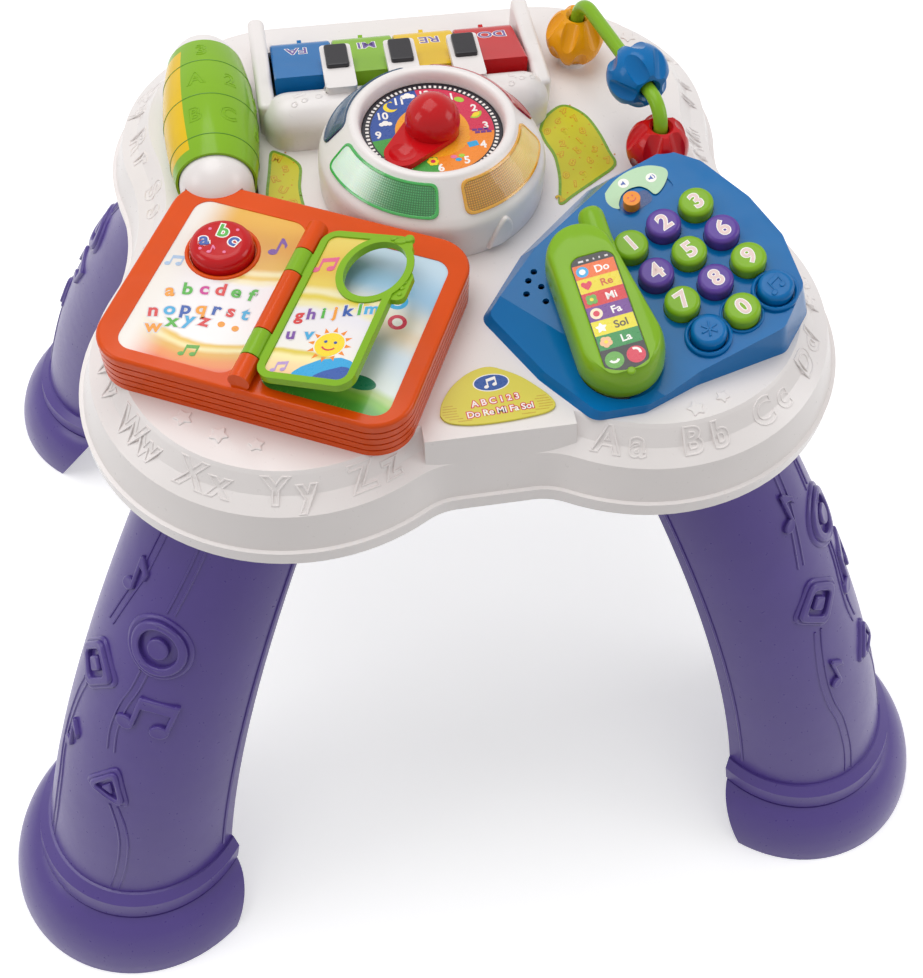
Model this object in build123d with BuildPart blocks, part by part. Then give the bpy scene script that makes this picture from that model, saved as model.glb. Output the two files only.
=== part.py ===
from build123d import *
import os
from math import atan2, cos, degrees, hypot, radians, sin, sqrt

os.makedirs("parts", exist_ok=True)

# Toddler's musical activity table. Millimetres, +Z up, -Y towards the seated child.
# The origin is on the floor, midway between the four feet.

# ---- Heights -------------------------------------------------------------------------
rim_z = 325.0            # underside of the tabletop, where the legs' top plates meet it
lip_height = 9.6         # straight lip of the bottom shell
deck_z = 365.0           # flat deck that carries the toys
wall = 2.4               # general wall of the white shells
fit_gap = 0.3            # clearance between pieces that drop into each other
running_gap = 0.06       # radial clearance of a pin or shaft in its bore

# ---- Tabletop outline: four round lobes joined by hollow waists ----------------------
front_lobe_x = 85.0
front_lobe_y = -78.0
front_lobe_radius = 104.0
rear_lobe_x = 72.0
rear_lobe_y = 74.0
rear_lobe_radius = 97.0
waist_radius = 100.0
front_edge_y = -164.0
notch_radius = 30.0

lip_step = 2.0           # parting groove: the top shell stands this far inside the lip
lip_wall = 4.4
ridge_inset = 8.5        # ridge below the letter band
ridge_z = 352.0
cove_inset = 17.0        # hollow of the letter band
cove_z = 356.5
deck_edge_inset = 23.0
deck_edge_drop = 1.5     # softened edge of the deck
lip_round = 1.5

# ---- Front label block ---------------------------------------------------------------
label_x = 3.0
label_block_width = 70.0
label_block_front_y = -151.0
label_block_depth = 40.0
label_plate_depth = 27.0
label_plate_y = -144.5
label_plate_height = 1.2
label_plate_width_front = 56.0
label_plate_width_rear = 20.0

# ---- Legs ----------------------------------------------------------------------------
leg_angle = 40.0         # plan angle of each leg from the X axis
foot_reach = 283.5       # foot centre from the table's centre line
top_reach = 128.3        # leg centre from the centre line where it meets the top
leg_bow = 24.6           # outward bow of the leg at mid height
leg_radius_low = 62.0
leg_radius_high = 43.6
leg_wall = 3.0
foot_radius = 82.0
foot_height = 40.0
collar_height = 20.0
collar_proud = 5.5
wrap_share = 0.29        # how far behind its centre the C section runs, as a share of its radius
leg_plug_radius = 16.0
leg_plug_offset = 4.0
leg_plug_height = 17.0

# ---- Book ----------------------------------------------------------------------------
book_x = -87.0
book_y = -81.0
book_turn = -27.1        # degrees about Z
book_width = 150.0
book_depth = 117.0
book_offset_y = 6.5
book_height = 22.0
book_corner = 19.0
book_wall = 2.6
book_edge_round = 2.0
page_leaf_step = 1.0     # depth of the grooves that look like stacked leaves
leaf_count = 4
leaf_pitch = 4.2
leaf_groove = 0.9
left_page = (-63.0, -45.0, -6.0, 52.0)
right_page = (6.0, -46.0, 66.0, 50.0)
page_sink = 0.8
sticker_thickness = 0.4
sticker_corner = 4.0
hinge_lift = 26.0        # page pivot above the deck
knuckle_radius = 5.0
hinge_pin_radius = 1.6
knuckle_end = 2.0        # closed end of the outer knuckles
page_width = 52.0
page_depth = 92.0
page_thickness = 3.0
page_rest_angle = 12.0   # the page stands a little open
page_corner = 8.0
page_middle_y = -1.0
page_tab_y = 15.0
page_tab_reach = 6.0
page_tab_depth = 18.0
page_border = 3.5
page_border_rise = 0.9
page_hole_half_width = 14.4
page_hole_half_depth = 17.5
page_hole_rim = 3.5
button_x = 38.7          # from the page pivot, and so of the hole in the turned page
button_y = 22.9
button_radius = 15.0
button_rise = 8.0
button_flange = 17.5
button_flange_height = 2.0
button_seat = 18.6       # underside of the book's top skin above the deck
spring_radius = 8.0
spring_wire = 0.7
spring_turns = 5

# ---- Roller --------------------------------------------------------------------------
roller_x = -111.0
roller_z = 380.0
roller_radius = 24.0
roller_end_radius = 20.0
roller_front_y = 10.0
roller_rear_y = 96.0
roller_wall = 2.5
axle_radius = 2.5
ball_radius = 18.3       # fixed ball that each end of the barrel turns round
ball_gap = 0.5
roller_web = 2.5
roller_web_inset = 22.0  # webs that carry the barrel on its axle
yellow_sector = 70.0     # degrees of the barrel that the yellow panel covers
sector_direction = -155.0  # where the yellow panel rests: upper left, measured from the right
sector_margin = 6.0
axle_grip = 6.0          # length of axle held in each ball

# ---- Clock dome ----------------------------------------------------------------------
dome_x = -2.0
dome_y = 14.5
dome_base_radius = 57.5
dome_base_height = 5.0
dome_shoulder_radius = 56.0
dome_shoulder_z = 371.5
dome_crown_radius = 44.5
dome_crown_z = 395.0
dome_rim_radius = 40.5
dome_top_z = 400.0
dial_radius = 35.0
dial_seat_z = 396.0
dial_seat_thickness = 2.0
dial_thickness = 1.0
dome_wall = 2.6
window_span = 80.0      # degrees of the dome that each light window covers
window_low_share = 0.08  # window edges as shares of the sloping wall
window_high_share = 0.86
window_proud = 0.8
hand_knob_radius = 13.5
hand_knob_height = 17.0
hand_shaft_radius = 4.0
hand_plate_thickness = 3.0
hand_arm_reach = 25.0
hand_pad_radius = 9.0
hand_dish_radius = 12.0
hand_dish_depth = 2.0
hand_clip_height = 2.0
hand_direction = 225.0   # the pointer's plan angle at rest

# ---- Piano ---------------------------------------------------------------------------
key_pitch = 34.0
key_gap = 0.8
piano_x = -8.0
key_front_y = 75.0
key_rear_y = 125.0
key_high_z = 388.0
key_low_z = 378.0
key_bottom_z = 361.0
bar_y = 58.5
bar_radius = 14.0
bar_z = 374.0
bar_overrun = 8.0        # the bar runs past the outer keys
frame_wall = 9.0
frame_height = 19.0
frame_rear_y = 132.0
pivot_y = 82.0
pivot_z = 369.0
pivot_radius = 2.0
black_key_width = 12.0
black_key_length = 17.0
black_key_height = 2.4
black_key_y = 82.0
black_frame_border = 2.2
black_frame_z = 389.2     # underside of the frames, clear of a pressed key
black_frame_height = 3.2
key_nose = 12.0          # rounding at the rear end of a key
key_wall = 2.4
key_round = 1.5
key_corner = 6.0

# ---- Bead track ----------------------------------------------------------------------
track_rear_x = 91.0
track_rear_y = 97.0
track_front_x = 112.7
track_front_y = 2.0
track_top_z = 406.0
track_bend = 14.0
tube_radius = 3.6
bead_radius = 16.0
bead_length = 26.0
bead_bore_radius = 4.4
bead_flare = 1.8
scoop_count = 6          # scoops round each end of a bead
scoop_radius = 6.0
scoop_reach = 23.2       # scoop's centre line from the bead's axis at mid length
scoop_lean = 34.0        # degrees that a scoop leans in towards the bead's end
tube_wall = 1.0
tube_grip = 8.0
track_boss_radius = 8.0
rear_bead_z = 381.0
front_bead_z = 383.5
middle_bead_share = 0.70  # place of the middle bead along the level run

# ---- Phone panel and keypad ----------------------------------------------------------
pad_x = 107.3            # panel surface under the middle key
pad_y = -76.9
pad_z = 385.2
pad_lean_x = -0.172      # the keypad's normal leans to the front left
pad_lean_y = -0.154
pad_turn = 24.15         # plan angle of the rows of keys
key_row_pitch = 19.8
key_column_pitch = 19.5
number_key_radius = 8.4
number_key_rise = 7.0
number_key_flange = 8.9
number_key_round = 2.4
key_flange_height = 1.3
keypad_board_h = -8.4    # top of the keypad board below the panel's surface
keypad_dome_h = -6.3
keypad_post_x = 25.0
keypad_post_y = (10.0, -30.0)
keypad_post_radius = 1.8
keypad_board_width = 54.0
keypad_board_length = 72.0
keypad_board_corner = 9.0
speaker_hole_radius = 1.6
speaker_hole_places = [(-63, 39), (-68, 36.5), (-73, 31), (-65, 30), (-68, 22)]
panel_wall = 2.6
panel_low_height = 5.0   # height of the panel's low front-left part above the deck
panel_high_z = 405.0     # where the sloping sides would end if the keypad did not cut them
panel_scale = 0.74       # size of the outline at that height
panel_corner = 8.0
track_notch_radius = 18.5  # hollow in the panel's rear side round the bead track
handset_turn = -20.0
handset_x = -53.0
handset_y = -6.0
handset_top_radius = 13.5     # earpiece end
handset_bottom_radius = 19.5
handset_top_y = 33.0
handset_bottom_y = -22.0
handset_height = 22.0
handset_draft = 3.5           # how far the sides lean in over the height
cradle_depth = 0.4
antenna_radius = 5.0
antenna_x = 5.0
antenna_length = 13.0
antenna_lift = 8.0
screen_length = 62.0
screen_width = 20.0
screen_y = -5.0
screen_thickness = 1.0
slider_x = -3.0
slider_y = 41.0
slider_travel = 9.0
slider_radius = 4.2
slider_stem_radius = 2.0
slider_rise = 5.0
slider_plate = 1.5
mode_window_width = 30.0
mode_window_height = 16.0
mode_window_depth = 0.8
mode_window_offset = 8.0
mode_window_lift = 2.5

# ---- Inside --------------------------------------------------------------------------
board_thickness = 1.6
board_z = 333.0
chip_size = 12.0
chip_height = 1.8
switch_board_z = 350.0
switch_board_y = 100.0
switch_board_depth = 26.0
rubber_dome_radius = 4.0
rubber_dome_top_z = 359.3
cell_radius = 7.1
cell_length = 49.0
cell_gap = 1.0           # half the space between the two cells
cell_tip_radius = 2.7
cell_tip_length = 1.2
battery_wall = 2.0
door_ledge = 1.5         # rim of the box that the door shuts against
battery_roof_z = 345.0
battery_x = 0.0
battery_y = -6.0
battery_half_width = 32.0
battery_half_depth = 19.0
speaker_radius = 18.0
speaker_x = 36.0
speaker_y = -74.0
speaker_rim = 3.0
speaker_depth = 12.0
screw_radius = 1.5
screw_head_radius = 3.2
screw_head_height = 2.2
boss_radius = 4.0
boss_floor_z = 332.0      # where the case screw posts of the two shells meet
case_screw_top_z = 345.0
module_screw_grip = 4.0   # how far a module screw reaches into its post above the deck
dome_screw_reach = 50.5   # the dome's screws, from its centre
light_board_inner = 36.0
light_board_outer = 46.0
lamp_reach = 42.5
lamp_radius = 2.5
lamp_height = 8.0


below = (Align.CENTER, Align.CENTER, Align.MAX)
upwards = (Align.CENTER, Align.CENTER, Align.MIN)


def save(builder, name):
    """Label a finished piece and write it as its own file."""
    builder.part.label = name
    export_step(builder.part, f"parts/{name}.step")


# ---- Tabletop shells -----------------------------------------------------------------
def tabletop_face(inset):
    """The tabletop's outline, drawn a distance inside the rim."""
    lobe = (front_lobe_x, front_lobe_y)
    rear = (rear_lobe_x, rear_lobe_y)
    notch_x = front_lobe_x - sqrt(
        (front_lobe_radius + notch_radius) ** 2 - (front_lobe_y - front_edge_y + notch_radius) ** 2
    )
    notch = (notch_x, front_edge_y - notch_radius)
    gap = hypot(rear[0] - lobe[0], rear[1] - lobe[1])
    to_lobe = front_lobe_radius + waist_radius
    to_rear = rear_lobe_radius + waist_radius
    along = (gap**2 + to_lobe**2 - to_rear**2) / (2 * gap)
    aside = sqrt(to_lobe**2 - along**2)
    ux, uy = (rear[0] - lobe[0]) / gap, (rear[1] - lobe[1]) / gap
    waist = (lobe[0] + ux * along + uy * aside, lobe[1] + uy * along - ux * aside)
    notch_end = degrees(atan2(lobe[1] - notch[1], lobe[0] - notch[0]))
    waist_start = degrees(atan2(waist[1] - lobe[1], waist[0] - lobe[0]))
    waist_end = degrees(atan2(waist[1] - rear[1], waist[0] - rear[0]))
    front = front_edge_y + inset
    back = rear_lobe_y + rear_lobe_radius - inset
    arcs = [
        (notch, notch_radius + inset, 90, notch_end - 90),
        (lobe, front_lobe_radius - inset, notch_end - 180, waist_start - notch_end + 180),
        (waist, waist_radius + inset, waist_start + 180, waist_end - waist_start),
        (rear, rear_lobe_radius - inset, waist_end, 90 - waist_end),
    ]
    with BuildSketch() as outline:
        with BuildLine():
            Line((-notch_x, front), (notch_x, front))
            for centre, radius, start, sweep in arcs:
                CenterArc(centre, radius, start, sweep)
            Line((rear_lobe_x, back), (-rear_lobe_x, back))
            for centre, radius, start, sweep in reversed(arcs):
                CenterArc((-centre[0], centre[1]), radius, 180 - start, -sweep)
        make_face()
    return outline.sketch


def stack(rings, mode=Mode.ADD):
    """Loft straight-sided layers through outlines given as (inset, height)."""
    for (low_inset, low_z), (high_inset, high_z) in zip(rings, rings[1:]):
        low = Plane.XY.offset(low_z) * tabletop_face(low_inset)
        high = Plane.XY.offset(high_z) * tabletop_face(high_inset)
        loft(sections=[low, high], ruled=True, mode=mode)


# Places of the screws that draw the two shells together.
case_screw_places = [(150, -60), (60, -145), (141.5, 60), (62, 135)]
case_screw_places += [(-x, y) for x, y in case_screw_places]

top_z = rim_z + lip_height
deck_under_z = deck_z - wall
skirt_rings = [
    (lip_step, top_z),
    (ridge_inset, ridge_z),
    (cove_inset, cove_z),
    (deck_edge_inset, deck_z - deck_edge_drop),
    (deck_edge_inset + deck_edge_drop, deck_z),
]
hollow_rings = [
    (lip_step + wall, top_z),
    (ridge_inset + wall, ridge_z - wall / 2),
    (cove_inset + wall, cove_z - wall),
    (deck_edge_inset + wall, deck_under_z),
]

# Key, roller and panel openings in the deck, shared by the shell and the pieces in them.
keys_left = piano_x - 2 * key_pitch
keys_right = piano_x + 2 * key_pitch
opening_margin = 1.0
roller_mid_y = (roller_front_y + roller_rear_y) / 2
roller_length = roller_rear_y - roller_front_y
roller_chord = sqrt(roller_radius**2 - (roller_z - deck_z) ** 2)
track_places = [(track_rear_x, track_rear_y), (track_front_x, track_front_y)]

book_plane = Plane(
    origin=(book_x, book_y, deck_z),
    x_dir=(cos(radians(book_turn)), sin(radians(book_turn)), 0),
    z_dir=(0, 0, 1),
)
pad_normal = Vector(pad_lean_x, pad_lean_y, 1).normalized()
pad_row = Vector(cos(radians(pad_turn)), sin(radians(pad_turn)), 0)
pad_row = (pad_row - pad_normal * pad_row.dot(pad_normal)).normalized()
pad_plane = Plane(origin=(pad_x, pad_y, pad_z), x_dir=pad_row, z_dir=pad_normal)

book_screw_places = [(-55, -36), (55, -36), (-62, 52), (62, 52)]
phone_screw_places = [(24, -100), (92, -14), (146, -80), (80, -136)]
dome_plane = Plane(origin=(dome_x, dome_y, 0), x_dir=(1, 0, 0), z_dir=(0, -1, 0))
dome_axis = Axis((dome_x, dome_y, 0), (0, 0, 1))
dome_screw_places = [
    (dome_x + dome_screw_reach * cos(radians(angle)), dome_y + dome_screw_reach * sin(radians(angle)))
    for angle in (0, 90, 180, 270)
]


def book_point(x, y):
    """A place on the book, given from its page pivot, in the table's frame."""
    place = book_plane.from_local_coords(Vector(x, y, 0))
    return place.X, place.Y


module_screw_places = [book_point(x, y) for x, y in book_screw_places]
module_screw_places += phone_screw_places + dome_screw_places


def posts(places, radius, low, high, mode=Mode.ADD):
    """Upright round posts or holes between two heights."""
    with BuildSketch(Plane.XY.offset(low)) as feet:
        with Locations(*places):
            Circle(radius)
    extrude(feet.sketch, amount=high - low, mode=mode)


# ---- Clock dome ----------------------------------------------------------------------
# Outside of the dome, also used to clear the piano bar that runs behind it.
with BuildPart() as dome_outside:
    with BuildSketch(dome_plane):
        with BuildLine():
            Polyline(
                (0, deck_z),
                (dome_base_radius, deck_z),
                (dome_base_radius, deck_z + dome_base_height),
                (dome_shoulder_radius, dome_shoulder_z),
                (dome_crown_radius, dome_crown_z),
                (dome_rim_radius, dome_top_z),
                (0, dome_top_z),
                (0, deck_z),
            )
        make_face()
    revolve(axis=dome_axis)

# Space inside the dome, less the bosses that its screws bite into.
with BuildPart() as dome_hollow:
    with BuildSketch(dome_plane):
        with BuildLine():
            Polyline(
                (0, deck_z),
                (dome_base_radius - dome_wall, deck_z),
                (dome_base_radius - dome_wall, deck_z + dome_base_height),
                (dome_shoulder_radius - dome_wall, dome_shoulder_z),
                (dome_crown_radius - dome_wall, dome_crown_z - dome_wall),
                (dial_radius, dial_seat_z - dial_seat_thickness),
                (0, dial_seat_z - dial_seat_thickness),
                (0, deck_z),
            )
        make_face()
    revolve(axis=dome_axis)
    posts(dome_screw_places, boss_radius, deck_z, dome_crown_z, mode=Mode.SUBTRACT)


def window_band(proud):
    """Section of a light window, between its edges on the dome's sloping wall."""
    run = dome_shoulder_radius - dome_crown_radius
    rise = dome_crown_z - dome_shoulder_z
    length = hypot(run, rise)
    out_x, out_z = rise / length, run / length
    corners = []
    for share, reach in (
        (window_low_share, proud),
        (window_high_share, proud),
        (window_high_share, -dome_wall - 1),
        (window_low_share, -dome_wall - 1),
    ):
        corners.append(
            (
                dome_shoulder_radius - run * share + out_x * reach,
                dome_shoulder_z + rise * share + out_z * reach,
            )
        )
    return corners


def window_section(middle, proud):
    """The window's section on the plane where its sweep starts."""
    start = radians(middle - window_span / 2)
    plane = Plane(
        origin=(dome_x, dome_y, 0),
        x_dir=(cos(start), sin(start), 0),
        z_dir=(sin(start), -cos(start), 0),
    )
    with BuildSketch(plane) as section:
        Polygon(*window_band(proud), align=None)
    return section.sketch


window_names = {
    "window_red": 45,
    "window_blue": 135,
    "window_green": 225,
    "window_amber": 315,
}

# Dome housing: one white moulding with the dial seat, the rim round the dial and the four
# window openings.
with BuildPart() as clock_housing:
    add(dome_outside.part)
    add(dome_hollow.part, mode=Mode.SUBTRACT)
    for middle in window_names.values():
        opening = window_section(middle, dome_wall)
        revolve(opening, axis=dome_axis, revolution_arc=window_span, mode=Mode.SUBTRACT)
    with BuildSketch(Plane.XY.offset(dial_seat_z)):
        with Locations((dome_x, dome_y)):
            Circle(dial_radius + fit_gap)
    extrude(amount=dome_top_z - dial_seat_z, mode=Mode.SUBTRACT)
    shaft_bore = hand_shaft_radius + running_gap
    posts([(dome_x, dome_y)], shaft_bore, dome_crown_z - dome_wall, dial_seat_z, mode=Mode.SUBTRACT)
    posts(dome_screw_places, screw_radius, deck_z, deck_z + module_screw_grip, mode=Mode.SUBTRACT)
save(clock_housing, "clock_housing")

# Light windows: clear tinted mouldings that fill the openings and stand slightly proud.
for window_name, middle in window_names.items():
    with BuildPart() as window:
        revolve(window_section(middle, window_proud), axis=dome_axis, revolution_arc=window_span)
    save(window, window_name)

# Printed dial disc under the hand.
dial_top_z = dial_seat_z + dial_thickness
with BuildPart() as clock_dial:
    posts([(dome_x, dome_y)], dial_radius, dial_seat_z, dial_seat_z + dial_thickness)
    posts([(dome_x, dome_y)], hand_shaft_radius + fit_gap, dial_seat_z, dial_top_z, mode=Mode.SUBTRACT)
save(clock_dial, "clock_dial")

# Clock hand: a domed knob with an arm that ends in a dished finger pad, turning on a shaft
# through the dial seat.
hand_low_z = dial_top_z + fit_gap
hand_plate_z = hand_low_z + hand_plate_thickness
hand_tip = (
    dome_x + hand_arm_reach * cos(radians(hand_direction)),
    dome_y + hand_arm_reach * sin(radians(hand_direction)),
)
clip_z = dial_seat_z - dial_seat_thickness - fit_gap
with BuildPart() as clock_hand:
    with BuildSketch(Plane.XY.offset(hand_low_z)):
        with Locations((dome_x, dome_y)):
            Circle(hand_knob_radius)
        with Locations(hand_tip):
            Circle(hand_pad_radius)
        make_hull()
    extrude(amount=hand_plate_thickness)
    with BuildSketch(dome_plane):
        with BuildLine():
            Line((0, hand_low_z), (hand_knob_radius, hand_low_z))
            Line((hand_knob_radius, hand_low_z), (hand_knob_radius, hand_plate_z))
            ThreePointArc(
                (hand_knob_radius, hand_plate_z),
                (hand_knob_radius * 0.75, hand_plate_z + hand_knob_height * 0.72),
                (0, hand_plate_z + hand_knob_height),
            )
            Line((0, hand_plate_z + hand_knob_height), (0, hand_low_z))
        make_face()
    revolve(axis=dome_axis)
    with Locations((hand_tip[0], hand_tip[1], hand_plate_z + hand_dish_radius - hand_dish_depth)):
        Sphere(hand_dish_radius, mode=Mode.SUBTRACT)
    posts([(dome_x, dome_y)], hand_shaft_radius, clip_z - hand_clip_height, hand_low_z)
save(clock_hand, "clock_hand")

# Clip ring pressed on the hand's shaft below the seat.
with BuildPart() as hand_clip:
    posts([(dome_x, dome_y)], hand_shaft_radius + 4, clip_z - hand_clip_height, clip_z)
    posts([(dome_x, dome_y)], hand_shaft_radius, clip_z - hand_clip_height, clip_z, mode=Mode.SUBTRACT)
save(hand_clip, "hand_clip")

# Ring board on the deck inside the dome, and the lamp behind each window.
lamp_places = [
    (dome_x + lamp_reach * cos(radians(angle)), dome_y + lamp_reach * sin(radians(angle)))
    for angle in window_names.values()
]
with BuildPart() as light_board:
    posts([(dome_x, dome_y)], light_board_outer, deck_z, deck_z + board_thickness)
    posts([(dome_x, dome_y)], light_board_inner, deck_z, deck_z + board_thickness, mode=Mode.SUBTRACT)
    posts(lamp_places, lamp_radius, deck_z + board_thickness, deck_z + board_thickness + lamp_height)
    fillet(light_board.edges().group_by(Axis.Z)[-1], radius=lamp_radius * 0.8)
save(light_board, "light_board")


# ---- Top shell -----------------------------------------------------------------------
# Piano surround: end walls and the round bar that the keys come out from under.
bar_half_length = 2 * key_pitch + bar_overrun - bar_radius
with BuildPart() as piano_frame:
    with BuildSketch(Plane.XY.offset(deck_z)):
        for side, edge in ((-1, keys_left), (1, keys_right)):
            wall_x = edge + side * (opening_margin + frame_wall / 2)
            with Locations((wall_x, (bar_y + frame_rear_y) / 2)):
                RectangleRounded(frame_wall, frame_rear_y - bar_y, frame_wall * 0.4)
    extrude(amount=frame_height)
    fillet(piano_frame.edges().group_by(Axis.Z)[-1], radius=frame_wall * 0.3)
    with BuildSketch(Plane.YZ.offset(piano_x)):
        with Locations((bar_y, bar_z)):
            Circle(bar_radius)
        with Locations((bar_y, (bar_z + deck_z) / 2)):
            Rectangle(2 * bar_radius, bar_z - deck_z)
    extrude(amount=bar_half_length, both=True)
    for side in (-1, 1):
        with BuildSketch(Plane.XY.offset(deck_z)):
            with Locations((piano_x + side * bar_half_length, bar_y)):
                Circle(bar_radius)
        extrude(amount=bar_z - deck_z)
        with Locations((piano_x + side * bar_half_length, bar_y, bar_z)):
            Sphere(bar_radius)
    with Locations((piano_x, bar_y, deck_z)):
        Box(8 * key_pitch, 8 * bar_radius, 2 * bar_radius, align=below, mode=Mode.SUBTRACT)

# Space under the deck, less the posts that the case screws bite into.
with BuildPart() as case_hollow:
    stack(hollow_rings)
    with BuildSketch(Plane.YZ.offset(label_x)):
        Polygon(
            (front_edge_y + lip_step + wall, top_z),
            (front_edge_y + ridge_inset + wall, ridge_z),
            (label_block_front_y + wall, deck_under_z),
            (label_block_front_y + label_block_depth, deck_under_z),
            (label_block_front_y + label_block_depth, top_z),
            align=None,
        )
    extrude(amount=label_block_width / 2 - wall, both=True)
    posts(case_screw_places, boss_radius, boss_floor_z, deck_z, mode=Mode.SUBTRACT)

# Deck with its sloping skirt, letter band, front label block and piano surround.
black_key_places = [(piano_x + step * key_pitch, black_key_y) for step in (-1, 0, 1)]
black_frame_width = black_key_width + 2 * black_frame_border
black_frame_rear_y = black_key_y + black_key_length / 2 + black_frame_border
with BuildPart() as top_shell:
    stack(skirt_rings)
    with BuildSketch(Plane.YZ.offset(label_x)):
        Polygon(
            (front_edge_y + lip_step, top_z),
            (front_edge_y + ridge_inset, ridge_z),
            (label_block_front_y, deck_z),
            (label_block_front_y + label_block_depth, deck_z),
            (label_block_front_y + label_block_depth, top_z),
            align=None,
        )
    extrude(amount=label_block_width / 2, both=True)
    add(case_hollow.part, mode=Mode.SUBTRACT)
    add(piano_frame.part)
    with BuildSketch(Plane.XY.offset(black_frame_z)):
        with Locations(*[(x, (bar_y + black_frame_rear_y) / 2) for x, y in black_key_places]):
            RectangleRounded(black_frame_width, black_frame_rear_y - bar_y, 2)
    extrude(amount=black_frame_height)
    with BuildSketch(Plane.XY.offset(bar_z)):
        with Locations(*[(x, bar_y + bar_radius / 2) for x, y in black_key_places]):
            Rectangle(black_frame_width - 2, bar_radius)
    extrude(amount=black_frame_z - bar_z + 1)
    add(dome_outside.part, mode=Mode.SUBTRACT)
    revolve(window_section(0, window_proud), axis=dome_axis, mode=Mode.SUBTRACT)
    with BuildSketch(Plane.XY.offset(deck_under_z)):
        with Locations((piano_x, (key_front_y + key_rear_y) / 2)):
            Rectangle(
                keys_right - keys_left + 2 * opening_margin, key_rear_y - key_front_y + 2 * opening_margin
            )
        with Locations((roller_x, roller_mid_y)):
            Rectangle(2 * (roller_chord + opening_margin), roller_length + 2 * opening_margin)
        with Locations((dome_x, dome_y)):
            Circle(dome_rim_radius)
        with Locations((speaker_x, speaker_y)):
            Circle(speaker_radius - speaker_rim)
    extrude(amount=wall, mode=Mode.SUBTRACT)
    with BuildSketch(Plane.YZ.offset(keys_left - opening_margin - frame_wall * 0.7)):
        with Locations((pivot_y, pivot_z)):
            Circle(pivot_radius)
    extrude(amount=keys_right - keys_left + 2 * opening_margin + frame_wall * 1.4, mode=Mode.SUBTRACT)
    posts(track_places[:1], track_boss_radius, deck_z, rear_bead_z - bead_length / 2)
    posts(track_places[1:], track_boss_radius, deck_z, front_bead_z - bead_length / 2)
    posts(track_places, tube_radius, deck_under_z, rear_bead_z, mode=Mode.SUBTRACT)
    posts(module_screw_places, screw_radius, deck_under_z, deck_z, mode=Mode.SUBTRACT)
    posts(case_screw_places, screw_radius, boss_floor_z, case_screw_top_z, mode=Mode.SUBTRACT)
save(top_shell, "top_shell")

# Label plate: a thin printed plate glued on the front block.
with BuildPart() as label_plate:
    with BuildSketch(Plane.XY.offset(deck_z)):
        with BuildLine():
            FilletPolyline(
                (label_x - label_plate_width_front / 2, label_plate_y),
                (label_x + label_plate_width_front / 2, label_plate_y),
                (label_x + label_plate_width_rear / 2, label_plate_y + label_plate_depth),
                (label_x - label_plate_width_rear / 2, label_plate_y + label_plate_depth),
                radius=4,
                close=True,
            )
        make_face()
    extrude(amount=label_plate_height)
save(label_plate, "label_plate")

# Deck stickers either side of the dome.
sticker_outlines = [
    [(-83, 45), (-74, 36), (-64, 2), (-70, -6), (-82, 4), (-85, 24)],
    [(70, 56), (79, 56), (94, 18), (87, 6), (76, -2), (60, -16), (57, -9), (61, 38)],
]
with BuildPart() as deck_stickers:
    for corners in sticker_outlines:
        with BuildSketch(Plane.XY.offset(deck_z)):
            with BuildLine():
                FilletPolyline(*corners, radius=sticker_corner, close=True)
            make_face()
        extrude(amount=sticker_thickness)
save(deck_stickers, "deck_stickers")

# ---- Bottom shell --------------------------------------------------------------------
leg_plug_reach = top_reach + leg_plug_offset
leg_angles = {
    "leg_front_left": 180 + leg_angle,
    "leg_front_right": -leg_angle,
    "leg_rear_left": 180 - leg_angle,
    "leg_rear_right": leg_angle,
}
plug_places = [
    (leg_plug_reach * cos(radians(angle)), leg_plug_reach * sin(radians(angle)))
    for angle in leg_angles.values()
]
board_post_places = [(x, y) for x in (-44, 44) for y in (32, 86)]
switch_post_places = [(piano_x - 62, switch_board_y), (piano_x + 62, switch_board_y)]
floor_top_z = rim_z + wall


def battery_block(inset, low, high, mode=Mode.ADD):
    """A block of the battery box's plan, drawn a distance inside its door opening."""
    with BuildSketch(Plane.XY.offset(low)) as block:
        with Locations((battery_x, battery_y)):
            Rectangle(2 * (battery_half_width - inset), 2 * (battery_half_depth - inset))
    extrude(block.sketch, amount=high - low, mode=mode)


# Flat floor with the lip below the parting groove, leg sockets, board posts and the battery
# opening.
with BuildPart() as bottom_shell:
    stack([(lip_round, rim_z), (0, rim_z + lip_round), (0, top_z)])
    stack([(lip_wall, floor_top_z), (lip_wall, top_z)], mode=Mode.SUBTRACT)
    posts(plug_places, leg_plug_radius + fit_gap + wall, floor_top_z, rim_z + leg_plug_height)
    posts(plug_places, leg_plug_radius + fit_gap, rim_z, rim_z + leg_plug_height, mode=Mode.SUBTRACT)
    posts(case_screw_places, boss_radius + wall, floor_top_z, boss_floor_z)
    posts(case_screw_places, screw_radius + fit_gap, floor_top_z, boss_floor_z, mode=Mode.SUBTRACT)
    posts(case_screw_places, screw_head_radius + fit_gap, rim_z, floor_top_z, mode=Mode.SUBTRACT)
    posts(board_post_places, boss_radius, floor_top_z, board_z)
    posts(switch_post_places, boss_radius, floor_top_z, switch_board_z)
    battery_block(-battery_wall, floor_top_z, battery_roof_z + battery_wall)
    battery_block(0, rim_z, floor_top_z, mode=Mode.SUBTRACT)
    battery_block(door_ledge, floor_top_z, battery_roof_z, mode=Mode.SUBTRACT)
save(bottom_shell, "bottom_shell")

# Screws that join the shells, and those that hold the book, phone panel and dome.
with BuildPart() as case_screws:
    posts(case_screw_places, screw_head_radius, floor_top_z - screw_head_height, floor_top_z)
    posts(case_screw_places, screw_radius, floor_top_z, case_screw_top_z)
    posts(module_screw_places, screw_head_radius, deck_under_z - screw_head_height, deck_under_z)
    posts(module_screw_places, screw_radius, deck_under_z, deck_z + module_screw_grip)
save(case_screws, "case_screws")


# ---- Legs ----------------------------------------------------------------------------
def leg_reach(z):
    """Distance of the leg's centre from the table's centre line at a height."""
    share = z / rim_z
    return foot_reach - (foot_reach - top_reach) * share + 4 * leg_bow * share * (1 - share)


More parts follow.
